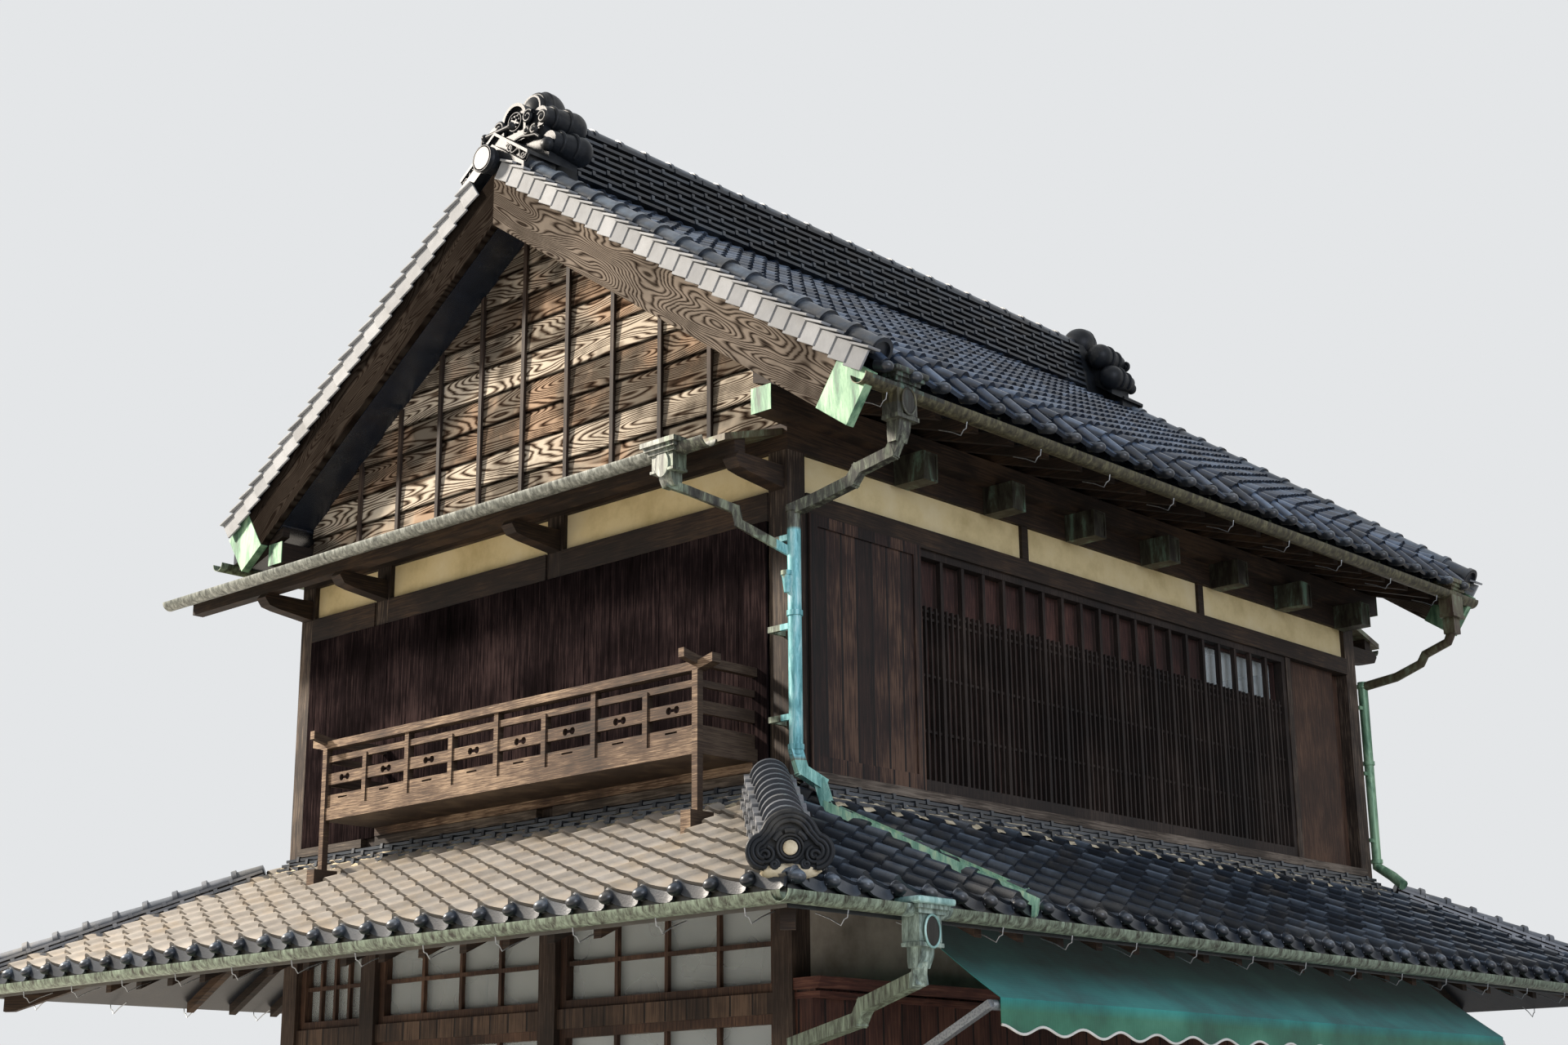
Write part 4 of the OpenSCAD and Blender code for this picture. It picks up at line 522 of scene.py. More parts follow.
# %% [markdown]
# ## Working by hand with operators
# An operator works on everything that is selected, and the loaded solids are selected, so each
# piece starts with nothing selected. The helpers below start a primitive, choose its points or
# faces by a test on their place, copy an object with its own mesh, set a finished piece on its
# place, and join copies. `place_on` turns a piece that was made lying flat, with its own x to the
# right, y up the slope and z outwards, onto any slope or wall.

# %% Helpers for modelling
def deselect():
    if bpy.context.object and bpy.context.object.mode != "OBJECT":
        bpy.ops.object.mode_set(mode="OBJECT")
    bpy.ops.object.select_all(action="DESELECT")


def only(*pieces):
    deselect()
    for piece in pieces:
        piece.select_set(True)
    bpy.context.view_layer.objects.active = pieces[0]


def start(kind, scale=(1, 1, 1), centre=(0, 0, 0), **options):
    """Adds a primitive, gives it its size and centre, and keeps them in the mesh."""
    deselect()
    getattr(bpy.ops.mesh, "primitive_" + kind + "_add")(**options)
    piece = bpy.context.object
    piece.scale = scale
    piece.location = centre
    bpy.ops.object.transform_apply()
    return piece


def choose(piece, test, kind="FACE"):
    """Selects the faces (or points, or edges) whose centre passes the test, in edit mode."""
    only(piece)
    mesh = piece.data
    bpy.ops.object.mode_set(mode="EDIT")
    bpy.ops.mesh.select_mode(type=kind)
    bpy.ops.mesh.select_all(action="DESELECT")
    bpy.ops.object.mode_set(mode="OBJECT")
    if kind == "FACE":
        for face in mesh.polygons:
            face.select = bool(test(face.center, face.normal))
    elif kind == "EDGE":
        for edge in mesh.edges:
            a, b = (mesh.vertices[i].co for i in edge.vertices)
            edge.select = bool(test((a + b) / 2, b - a))
    else:
        for point in mesh.vertices:
            point.select = bool(test(point.co, None))
    bpy.ops.object.mode_set(mode="EDIT")


def edit_all(piece, operator, **options):
    """Runs one operator of edit mode on the whole mesh."""
    only(piece)
    bpy.ops.object.mode_set(mode="EDIT")
    bpy.ops.mesh.select_all(action="SELECT")
    getattr(bpy.ops.mesh, operator)(**options)
    deselect()


def modify(piece, kind, **settings):
    """Adds a modifier and applies it at once."""
    only(piece)
    modifier = piece.modifiers.new("step", kind)
    for key, value in settings.items():
        setattr(modifier, key, value)
    bpy.ops.object.modifier_apply(modifier="step")
    return piece


def duplicate(piece):
    other = piece.copy()
    other.data = piece.data.copy()
    bpy.context.scene.collection.objects.link(other)
    return other


def move_mesh(piece, matrix):
    only(piece)
    piece.matrix_world = matrix
    bpy.ops.object.transform_apply()
    return piece


def place_on(piece, corner, right_way, up_way):
    right_way, up_way = Vector(right_way).normalized(), Vector(up_way).normalized()
    out_way = right_way.cross(up_way)
    turn = Matrix((right_way, up_way, out_way)).transposed().to_4x4()
    return move_mesh(piece, Matrix.Translation(corner) @ turn)


def joined(pieces, name):
    only(*pieces)
    if len(pieces) > 1:
        bpy.ops.object.join()
    piece = bpy.context.object
    piece.name = piece.data.name = name
    return piece


def repeat(piece, count, step):
    return modify(piece, "ARRAY", count=count, use_relative_offset=False, use_constant_offset=True,
                  constant_offset_displace=step)


def finish_piece(piece, name, finish, smooth=35):
    """Names a piece, gives it its finish and lets it ride on the house."""
    only(piece)
    piece.name = piece.data.name = name
    piece.data.materials.clear()
    piece.data.materials.append(finish)
    if smooth:
        bpy.ops.object.shade_smooth_by_angle(angle=math.radians(smooth))
    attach(piece, "root")
    print(name, len(piece.data.polygons), "faces")
    return piece


def tint_units(piece, faces_each, seed, low=0.0, high=1.0, jitter=0.0, points_each=0):
    """Gives every repeated unit its own tint, and shifts it a little from its neighbours."""
    chance = random.Random(seed)
    mesh = piece.data
    shades = [chance.uniform(low, high) for _ in range(len(mesh.polygons) // faces_each + 1)]
    tint = mesh.attributes.new("tint", "FLOAT", "FACE")
    tint.data.foreach_set("value", [shades[i // faces_each] for i in range(len(mesh.polygons))])
    if jitter:
        lifts = [chance.uniform(0, jitter) for _ in range(len(mesh.vertices) // points_each + 1)]
        slides = [chance.uniform(-jitter, jitter) for _ in lifts]
        for i, point in enumerate(mesh.vertices):
            point.co.z += lifts[i // points_each]
            point.co.y += slides[i // points_each]


for old in [o for o in bpy.data.objects if o.name == "Cube"]:
    bpy.data.objects.remove(old)
print("helpers ready")

# %% [markdown]
# ## One roof tile
# The roof is laid with S-shaped pan tiles. Looked at from the eave, each has a round roll on its
# left, which covers the edge of its neighbour, and a wide pan that falls to its lowest line on
# its right. A tile could be a bent sheet with thickness, but only its top, its butt and its left
# edge ever show. So it is a grid eleven points wide: each column of points is lifted to the
# height of the S, the lower edge is raised on the tile below, and the butt and the left edge are
# extruded down. That keeps a tile at a few dozen faces, which matters because thousands are laid.

# %% Pan tile
pan_wide, pan_long, butt = 0.2189, 0.170, 0.026
skirt_pitch, skirt_exposure = 0.2118, 0.133
s_shape = [0.024, 0.047, 0.054, 0.049, 0.036, 0.025, 0.016, 0.008, 0.002, 0.0, 0.006]
s_place = [0.0, 0.05, 0.12, 0.19, 0.26, 0.37, 0.52, 0.68, 0.82, 0.92, 1.02]


def pan_tile(wide):
    tile_piece = start("grid", x_subdivisions=10, y_subdivisions=1, size=1)
    for column in range(11):
        edge_x = -0.5 + column / 10
        choose(tile_piece, lambda p, n: abs(p.x - edge_x) < 0.01, "VERT")
        bpy.ops.transform.translate(value=((s_place[column] - column / 10), 0, s_shape[column]))
    move_mesh(tile_piece,
              Matrix.Translation((wide / 2, pan_long / 2, 0.003)) @ Matrix.Diagonal((wide, pan_long, 1, 1)))
    choose(tile_piece, lambda p, n: p.y < 0.01, "VERT")
    bpy.ops.transform.translate(value=(0, 0, butt))
    choose(tile_piece, lambda p, d: abs(d.y) < 0.001 and p.y < 0.01, "EDGE")
    bpy.ops.mesh.extrude_region_move(TRANSFORM_OT_translate={"value": (0, 0.003, -butt)})
    choose(tile_piece, lambda p, d: abs(d.y) > 0.1 and p.x < 0.001, "EDGE")
    bpy.ops.mesh.extrude_region_move(TRANSFORM_OT_translate={"value": (0.002, 0, -butt)})
    edit_all(tile_piece, "normals_make_consistent", inside=False)
    if max(tile_piece.data.polygons, key=lambda f: f.area).normal.z < 0:
        edit_all(tile_piece, "flip_normals")
    return tile_piece


pan = pan_tile(pan_wide)
print("one tile:", len(pan.data.polygons), "faces")

# %% [markdown]
# ## Laying the slopes
# A course is repeated sideways and then up the slope with two Array modifiers. A real tiler never
# gets them perfectly level, so each tile is lifted and slid by a random millimetre or two, and
# gets its own tint. On the skirt roof the field is cut along the hips with bisect, in plan, where
# a mason would cut the tiles under the hip caps.

# %% Tile the six slopes
def cut_away(piece, point, normal):
    """Cuts off the part of a piece on the back side of a plane."""
    edit_all(piece, "bisect", plane_co=point, plane_no=normal, clear_inner=True)


def lay_tiles(name, length, corner, right_way, up_way, slope_length, finish, seed, cuts=(),
              pitch=pan_wide, exposure=0.1235, shades=(0.0, 1.0), droop=None):
    across = round(length / pitch)
    wide = length / across
    up = round(slope_length / exposure)
    course = slope_length / up
    field = duplicate(pan)
    move_mesh(field, Matrix.Diagonal((wide / pan_wide, 1, 1, 1)))
    faces_each, points_each = len(field.data.polygons), len(field.data.vertices)
    repeat(field, across, (wide, 0, 0))
    repeat(field, up, (0, course, 0))
    tint_units(field, faces_each, seed, *shades, jitter=0.0022, points_each=points_each)
    place_on(field, corner, right_way, up_way)
    if droop is not None:
        # past the slab the last course tips down into the gutter
        for point in field.data.vertices:
            point.co.z -= 0.5 * max(0.0, droop - point.co.y)
    for point, normal in cuts:
        cut_away(field, point, normal)
    return finish_piece(field, name, finish, smooth=40), wide, course


main_pitch = math.atan(roof_slope)
front_run = (apex_y + front_eave) / math.cos(main_pitch)
back_run = (house_d - apex_y + back_eave) / math.cos(main_pitch)
front_rise, side_rise = (skirt_high - skirt_low) / skirt_front, (skirt_high - skirt_low) / skirt_side
front_len = math.hypot(skirt_front, skirt_high - skirt_low) + 0.03
side_len = math.hypot(skirt_side, skirt_high - skirt_low) + 0.03
roof_long = roof_x1 - roof_x0
lay_tiles("front_roof_tiles", roof_long, (roof_x0, -front_eave, roof_z(-front_eave)), (1, 0, 0),
          (0, 1, roof_slope), front_run, roof_finish, 11, droop=-slab_eave)
lay_tiles("back_roof_tiles", roof_long, (roof_x1, house_d + back_eave, roof_z(house_d + back_eave)),
          (-1, 0, 0), (0, -1, roof_slope), back_run, roof_finish, 12)
# each hip is a vertical plane through a corner of the house and the corner of the eave
hip_near_front = (0, 0, 0), (skirt_front, -skirt_side, 0)
hip_far_front = (house_w, 0, 0), (-skirt_front, -skirt_side, 0)
hip_near_back = (0, house_d, 0), (skirt_front, skirt_side, 0)
hip_far_back = (house_w, house_d, 0), (-skirt_front, skirt_side, 0)


def other_side(hip):
    return hip[0], tuple(-v for v in hip[1])


skirt_long, skirt_deep = house_w + 2 * skirt_side, house_d + 2 * skirt_front
# name, low corner, way right, way up in plan, length, rise, slope length, finish, hips, tints
skirt_slopes = (
    ("front", (-skirt_side, -skirt_front, skirt_low), (1, 0, 0), (0, 1), skirt_long, front_rise, front_len,
     tile,
     (hip_near_front, hip_far_front), (0.0, 1.0)),
    ("back", (house_w + skirt_side, house_d + skirt_front, skirt_low), (-1, 0, 0), (0, -1), skirt_long,
     front_rise,
     front_len, tile, (hip_near_back, hip_far_back), (0.0, 1.0)),
    ("near", (-skirt_side, house_d + skirt_front, skirt_low), (0, -1, 0), (1, 0), skirt_deep, side_rise,
     side_len,
     sunlit_tile, (other_side(hip_near_front), other_side(hip_near_back)), (0.3, 0.75)),
    ("far", (house_w + skirt_side, -skirt_front, skirt_low), (0, 1, 0), (-1, 0), skirt_deep, side_rise,
     side_len,
     tile, (other_side(hip_far_front), other_side(hip_far_back)), (0.0, 1.0)))
for seed, (name, corner, right_way, in_way, long, rise, run, finish, hips, shades) in enumerate(skirt_slopes,
                                                                                                13):
    lay_tiles("skirt_" + name + "_tiles", long, corner, right_way, (*in_way, rise), run, finish, seed, hips,
              skirt_pitch, skirt_exposure, shades)

bpy.data.objects.remove(pan)

# %% [markdown]
# ## Eave tiles
# The lowest tile of every column ends in a round knob under the roll and a lip that hangs from
# the pan over the gutter. The lip follows the same S as the tile, so it is a grid whose upper
# edge is lifted to that S and whose lower edge is pulled out and down. One tile's end is
# modelled, and copied along each eave. At the front of the main roof the last course itself tips
# into the gutter, so only its knob is made.

# %% Eave tile ends
def eave_end(wide, drop, with_lip):
    disc = start("uv_sphere", (1, 0.8, 1), (0.13 * wide, -0.030 - drop * 0.4, 0.020 - drop), radius=0.036,
                 segments=20,
                 ring_count=12, rotation=(math.pi / 2, 0, 0))
    stem = start("cylinder", (1, 1, 1), (0.13 * wide, 0.004 - drop * 0.3, 0.022 - drop * 0.8), radius=0.033,
                 depth=0.06,
                 vertices=16, rotation=(math.pi / 2, 0, 0))
    if not with_lip:
        return joined([disc, stem], "eave_end")
    lip = start("grid", x_subdivisions=10, y_subdivisions=1, size=1)
    for column in range(11):
        across, edge_x = s_place[column] * wide, -0.5 + column / 10
        sag = math.sin(math.pi * column / 10)
        choose(lip, lambda p, n: abs(p.x - edge_x) < 0.01 and p.y > 0, "VERT")
        bpy.ops.transform.translate(value=(across - edge_x, -0.505, s_shape[column] + 0.010))
        choose(lip, lambda p, n: abs(p.x - edge_x) < 0.01 and p.y < -0.45, "VERT")
        bpy.ops.transform.translate(value=(across - edge_x, 0.475 - drop * 0.5,
                                           s_shape[column] - 0.028 - 0.014 * sag - drop))
    modify(lip, "SOLIDIFY", thickness=0.014, offset=0)
    return joined([disc, stem, lip], "eave_end")


def eave_row(name, length, corner, right_way, up_way, finish, seed, pitch=pan_wide, drop=0.0, with_lip=True):
    across = round(length / pitch)
    wide = length / across
    row = eave_end(wide, drop, with_lip)
    faces_each = len(row.data.polygons)
    repeat(row, across, (wide, 0, 0))
    tint_units(row, faces_each, seed)
    place_on(row, corner, right_way, up_way)
    return finish_piece(row, name, finish, smooth=40)


eave_row("front_eave_ends", roof_long, (roof_x0, -front_eave, roof_z(-front_eave) - 0.048), (1, 0, 0),
         (0, 1, 0.3),
         tile, 21, with_lip=False)
eave_row("back_eave_ends", roof_long, (roof_x1, house_d + back_eave, roof_z(house_d + back_eave)), (-1, 0, 0),
         (0, -1, 0.3), tile, 22, drop=0.03)
for seed, (name, corner, right_way, in_way, long, *_) in enumerate(skirt_slopes, 23):
    eave_row("skirt_" + name + "_ends", long, corner, right_way, (*in_way, 0.2), tile, seed, skirt_pitch)

# %% [markdown]
# ## Verge: flap tiles and a row of barrels
# At each gable the roof ends in tiles with a flap that hangs over the bargeboard and keeps rain
# off it. A thin slab edge stands out above each flap, and a row of round barrels with collars
# covers the joint. A flap is a flat box with a slanted lower corner and softened edges. A barrel
# is half a tapered cylinder, and its collar is a wider ring at the lower end.

# %% Verge flaps and barrels
verge_step = 0.1195


def flap_unit():
    """Flap and slab edge in slope coordinates: x outwards from the gable, y up the slope."""
    flap = start("cube", (0.013, verge_step * 1.06, 0.108), (0.0, verge_step / 2, -0.046), size=1)
    slab = start("cube", (0.090, verge_step * 1.15, 0.013), (0.024, verge_step * 0.48, 0.016), size=1)
    choose(slab, lambda p, n: p.y < verge_step * 0.2, "VERT")
    bpy.ops.transform.translate(value=(-0.004, 0, 0.007))
    deselect()
    unit = joined([flap, slab], "flap_unit")
    # each tile lies on the next, so its lower end stands up and out: the saw-tooth edge of a verge
    for point in unit.data.vertices:
        share = 1 - point.co.y / verge_step
        point.co.z += 0.015 * share
        point.co.x -= 0.006 * share
    return modify(unit, "BEVEL", width=0.0025, segments=1)


def barrel(length, radius, taper=0.94, collar=0.006, sides=20):
    """A round cap tile along y, with a collar at its lower end (y = 0)."""
    body = start("cylinder", (1, 1, 1), (0, length / 2, 0), radius=radius, depth=length * 1.06,
                 vertices=sides,
                 rotation=(-math.pi / 2, 0, 0))
    choose(body, lambda p, n: p.y > length * 0.9, "VERT")
    bpy.ops.transform.resize(value=(taper, 1, taper))
    choose(body, lambda p, n: n.y < -0.9)
    bpy.ops.mesh.inset(thickness=radius * 0.16)
    bpy.ops.mesh.extrude_region_move(TRANSFORM_OT_translate={"value": (0, 0.02, 0)})
    deselect()
    ring = start("cylinder", (1, 1, 1), (0, 0.012, 0), radius=radius + collar, depth=0.03, vertices=sides,
                 rotation=(-math.pi / 2, 0, 0))
    choose(ring, lambda p, n: n.y < -0.9)
    bpy.ops.mesh.inset(thickness=0.012)
    bpy.ops.mesh.delete(type="FACE")
    deselect()
    piece = joined([body, ring], "barrel")
    cut_away(piece, (0, 0, -radius * 0.35), (0, 0, 1))
    return piece


def verge(name, corner, side, up_way, run, seed):
    """side is +1 at the near gable (outside is -x) and -1 at the far one."""
    count = round((run - 0.16) / verge_step)
    unit = flap_unit()
    faces_each, points_each = len(unit.data.polygons), len(unit.data.vertices)
    flaps = repeat(unit, count, (0, verge_step, 0))
    tint_units(flaps, faces_each, seed, jitter=0.0015, points_each=points_each)
    right_way = Vector((side, 0, 0))
    if right_way.cross(Vector(up_way)).z < 0:
        # the same flaps, mirrored for the slopes that run the other way
        move_mesh(flaps, Matrix.Diagonal((-1, 1, 1, 1)))
        edit_all(flaps, "flip_normals")
        right_way = -right_way
    place_on(flaps, corner, right_way, up_way)
    finish_piece(flaps, name + "_flaps", flap_tile, smooth=30)
    cap_count = round((run - 0.2) / 0.205)
    caps = repeat(barrel(0.205, 0.064, collar=0.011), cap_count, (0, 0.205, 0))
    tint_units(caps, len(caps.data.polygons) // cap_count, seed + 1, low=0.2, high=0.9)
    inward = 0.095 if right_way.x * side > 0 else -0.095
    move_mesh(caps, Matrix.Translation((inward, 0.02, 0.036)))
    place_on(caps, corner, right_way, up_way)
    finish_piece(caps, name + "_barrels", tile, smooth=40)


# the flaps are pale grey: partly weathered clay, partly painted sunlight
flap_tile = smoked_tile("weathered_sunlit_verge_tile", "#7A7C7F", "#949698", "#ACAEB0", "#7E7C78", 0.4, butt_shade=0.0,
                        rough=0.6, shine=0.1)
front_low = roof_z(-front_eave)
back_low = roof_z(house_d + back_eave)
for seed, name, x, side in ((31, "near", -verge_out, 1), (35, "far", house_w + verge_out, -1)):
    verge(name + "_front_verge", (x, -front_eave, front_low), side, (0, 1, roof_slope), front_run, seed)
    verge(name + "_back_verge", (x, house_d + back_eave, back_low), side, (0, -1, roof_slope), back_run,
          seed + 2)

# %% [markdown]
# ## Flat ridge tiles
# Ridges, hips and the foot of a wall are closed with courses of noshi: flat tiles, about a
# quarter of a metre long, bedded in clay so that each course stands back from the one below.
# Every tile has a thicker band at its lower end, and the joints of one course lie over the
# middles of the next. One tile is a thin box with a drooping outer edge, joined to a thicker band
# at its end. A row is that tile repeated and cut to length.

# %% Rows of flat tiles
def noshi_row(length, unit_length, depth, offset, seed, thick=0.019, band=0.024):
    """A row in its own frame: x along the row, y from the wall (0) out to its edge, z up."""
    count = max(1, round(length / unit_length))
    unit = length / count
    plate = start("cube", (unit * 0.992, depth, thick), (unit * 0.496, depth / 2, thick / 2), size=1)
    choose(plate, lambda p, n: p.y > depth * 0.9, "VERT")
    bpy.ops.transform.translate(value=(0, 0, -depth * 0.08))
    deselect()
    collar = start("cube", (band, 0.06, thick * 1.9), (band / 2, depth - 0.023, thick * 0.55), size=1)
    choose(collar, lambda p, n: p.z > thick and p.y > depth * 0.9, "VERT")
    bpy.ops.transform.translate(value=(0, -0.004, -0.003))
    deselect()
    row = joined([plate, collar], "noshi_row")
    faces_each = len(row.data.polygons)
    points_each = len(row.data.vertices)
    repeat(row, count + (1 if offset else 0), (unit, 0, 0))
    tint_units(row, faces_each, seed, jitter=0.0015, points_each=points_each)
    if offset:
        move_mesh(row, Matrix.Translation((-unit * offset, 0, 0)))
        cut_away(row, (0, 0, 0), (1, 0, 0))
        cut_away(row, (length, 0, 0), (-1, 0, 0))
    return row


def set_row(row, corner, along, outward, up=(0, 0, 1)):
    """Puts a row on its place; a row that would be turned inside out has its faces flipped."""
    along, outward, up = (Vector(v).normalized() for v in (along, outward, up))
    turn = Matrix((along, outward, up)).transposed()
    move_mesh(row, Matrix.Translation(corner) @ turn.to_4x4())
    if turn.determinant() < 0:
        edit_all(row, "normals_make_consistent", inside=False)
    return row


print("rows of flat tiles ready")

# %% [markdown]
# ## The ridge
# Eight courses of flat tiles stand on each side of the ridge, over a core of dark clay, under a
# row of round cap tiles. The core only shows as the shadow between the courses, so it is a narrow
# box. The caps are the verge barrel again, a little larger and laid end to end.

# %% Ridge stack
ridge_x0, ridge_x1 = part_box("ridge_stack")[0][0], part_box("ridge_stack")[1][0]
ridge_foot, ridge_rise, ridge_half, courses = apex_z, 0.37, 0.150, 8
rows = []
for course in range(courses):
    depth = ridge_half - 0.008 * course - 0.05
    for side in (-1, 1):
        row = noshi_row(ridge_x1 - ridge_x0, 0.252, depth, 0.5 * (course % 2), 60 + course + 20 * side)
        height = ridge_foot + 0.012 + ridge_rise / courses * course + 0.014
        rows.append(set_row(row, (ridge_x0, apex_y + 0.05 * side, height), (1, 0, 0), (0, side, 0)))
finish_piece(joined(rows, "ridge_courses"), "ridge_courses", tile, smooth=0)
core = start("cube", (ridge_x1 - ridge_x0, 0.15, ridge_rise + 0.05), ((ridge_x0 + ridge_x1) / 2, apex_y,
             ridge_foot + ridge_rise / 2), size=1)
choose(core, lambda p, n: p.z > ridge_foot + ridge_rise * 0.5, "VERT")
bpy.ops.transform.resize(value=(1, 0.7, 1), center_override=(0, apex_y, 0))
deselect()
skirt_board = start("cube", (ridge_x1 - ridge_x0, 0.31, 0.03),
                    ((ridge_x0 + ridge_x1) / 2, apex_y, ridge_foot - 0.06), size=1)
dark_clay = mottled("dark_bedding_clay", [(0.3, "#1D1B1A"), (0.6, "#332F2C")], 0.95, 0.004, Scale=35.0,
                    Detail=5.0)
core = finish_piece(joined([core, skirt_board], "ridge_core"), "ridge_core", dark_clay, smooth=0)
cap_count = 24
cap_step = (ridge_x1 - ridge_x0) / cap_count
caps = repeat(barrel(cap_step, 0.066, sides=24), cap_count, (0, cap_step, 0))
tint_units(caps, len(caps.data.polygons) // cap_count, 90, low=0.2, high=0.8)
place_on(caps, (ridge_x0, apex_y, ridge_foot + ridge_rise + 0.006), (0, -1, 0), (1, 0, 0))
finish_piece(caps, "ridge_caps", tile, smooth=40)
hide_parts("ridge_stack")

# %% [markdown]
# ## Hips
# The four hips of the skirt roof are small ridges: three courses of flat tiles on each side under
# a row of round caps. The near hip, which the street sees end on, has five. A hip is made along
# its own slope and set on the corner with `place_on`'s way of turning.

# %% Hip ridges
def hip_ridge(name, wall_corner, eave_corner, rise, half, radius, end_gap, seed, courses=3, cap_pitch=0.172,
              start_gap=0.13):
    top, foot = Vector(wall_corner), Vector(eave_corner)
    up_way = (top - foot).normalized()
    side_way = up_way.cross(Vector((0, 0, 1))).normalized()
    out_way = side_way.cross(up_way)
    length = (top - foot).length - start_gap - end_gap
    begin = foot + up_way * end_gap
    parts = []
    for course in range(courses):
        for side in (-1, 1):
            reach = half - 0.02 / courses * course - 0.03 - 0.011 * (course % 2)
            row = noshi_row(length, 0.2, reach, 0.5 * (course % 2), seed + course + 7 * side,
                            thick=0.6 * rise / courses)
            corner = begin + side_way * (0.03 * side) + out_way * (0.022 + rise / courses * course)
            parts.append(set_row(row, corner, up_way, side_way * side, out_way))
    finish_piece(joined(parts, name), name, hip_side, smooth=0)
    bed = start("cube", (2 * half - 0.07, length, rise + 0.13), (0, length / 2, rise / 2 - 0.065), size=1)
    place_on(bed, begin, side_way, up_way)
    finish_piece(bed, name + "_bed", dark_clay, smooth=0)
    count = round(length / cap_pitch)
    caps = repeat(barrel(length / count, radius, taper=0.80, sides=28, collar=0.012), count,
                  (0, length / count, 0))
    tint_units(caps, len(caps.data.polygons) // count, seed + 9, low=0.35, high=1.0)
    place_on(caps, begin + out_way * (rise + 0.004), side_way, up_way)
    finish_piece(caps, name + "_caps", hip_tile, smooth=40)
    return bpy.data.objects[name]


hip_tile = smoked_tile("rain_washed_hip_tile", "#2C3138", "#565C64", "#8A8D93", "#A39D90", 0.5)
hip_side = smoked_tile("pale_edged_flat_tile", "#4A4E54", "#787B80", "#A3A4A6", "#A39D90", 0.5, butt_shade=0.0)
# the near hip stands a little off the line of the corner, turned about a point 1.5 m down it
hip_turn, hip_lean, hip_pivot = math.atan2(skirt_front, skirt_side), math.radians(4.5), 1.5
hip_run = math.hypot(skirt_front, skirt_side)
inward = Vector((math.cos(hip_turn + hip_lean), math.sin(hip_turn + hip_lean), 0))
pivot = Vector((-math.cos(hip_turn), -math.sin(hip_turn), 0)) * hip_pivot
near_front_hip = hip_ridge("near_front_hip", pivot + inward * hip_pivot + Vector((0, 0, skirt_high)),
                           pivot - inward * (hip_run - hip_pivot) + Vector((0, 0, skirt_low)), 0.142, 0.134,
                           0.084, 0.19, 101, courses=5, cap_pitch=0.137, start_gap=0.16)
for name, x, y, eave_x, eave_y, seed in (
        ("far_front_hip", house_w, 0, house_w + skirt_side, -skirt_front, 131),
        ("near_back_hip", 0, house_d, -skirt_side, house_d + skirt_front, 161),
        ("far_back_hip", house_w, house_d, house_w + skirt_side, house_d + skirt_front, 191)):
    hip_ridge(name, (x, y, skirt_high), (eave_x, eave_y, skirt_low), 0.075, 0.1, 0.056, 0.04, seed)
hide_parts("hip_ridges")

# %% [markdown]
# ## Courses at the foot of the wall
# Where the skirt roof meets the wall, four courses of flat tiles climb up under the sill, and
# cream mortar fills the gaps above the troughs. The mortar is squeezed out by hand, so its edge
# is lumpy: a strip is subdivided and its points are pushed about by a seeded random amount.

# %% Flashing courses and mortar
mortar = mottled("cream_lime_mortar", [(0.3, "#8F836C"), (0.5, "#C9BC9F"), (0.7, "#DDD2B8")], 0.95, 0.004,
                 Scale=18.0, Detail=6.0, Roughness=0.65)


def wall_foot(name, start_corner, along, outward, length, seed):
    rows = []
    for course in range(4):
        row = noshi_row(length, 0.27, 0.150 - 0.033 * course, 0.5 * (course % 2), seed + course, thick=0.017)
        corner = Vector(start_corner) + Vector((0, 0, skirt_high - 0.004 + 0.0275 * course))
        rows.append(set_row(row, corner, along, outward))
    finish_piece(joined(rows, name), name, tile, smooth=0)
    strip = start("grid", (length, 0.175, 1), (length / 2, 0.0875, 0), x_subdivisions=int(length / 0.035),
                  y_subdivisions=2, size=1)
    chance = random.Random(seed)
    for point in strip.data.vertices:
        point.co.z = -point.co.y * 0.62 + chance.uniform(0.0, 0.014)
        if point.co.y > 0.16:
            point.co.y += chance.uniform(-0.012, 0.008)
            point.co.z -= 0.02
    set_row(strip, Vector(start_corner) + Vector((0, 0, skirt_high + 0.085)), along, outward)
    edit_all(strip, "normals_make_consistent", inside=False)
    if sum(face.normal.z for face in strip.data.polygons) < 0:
        edit_all(strip, "flip_normals")
    finish_piece(strip, name + "_mortar", mortar, smooth=60)
    return bpy.data.objects[name]


for name, corner, along, outward, length, seed in (
        ("front_wall_foot", (0.04, 0, 0), (1, 0, 0), (0, -1, 0), house_w - 0.08, 210),
        ("back_wall_foot", (0.04, house_d, 0), (1, 0, 0), (0, 1, 0), house_w - 0.08, 220),
        ("near_wall_foot", (0, 0.04, 0), (0, 1, 0), (-1, 0, 0), house_d - 0.08, 230),
        ("far_wall_foot", (house_w, 0.04, 0), (0, 1, 0), (1, 0, 0), house_d - 0.08, 240)):
    wall_foot(name, corner, along, outward, length, seed)
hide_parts("flashing_courses")

# %% [markdown]
# ## Scrolls on the end tiles
# The end tiles of the ridge and of the near hip are pressed clay with modelled ornament: scrolls,
# rings and stepped outlines. The solids carry their main form. The fine lines are round beads
# laid on the face. A bead could be carved from the face, but a round tube that follows a drawn
# line gives the same soft highlight with few faces, so each line is a curve with a round section
# that is then made into mesh.

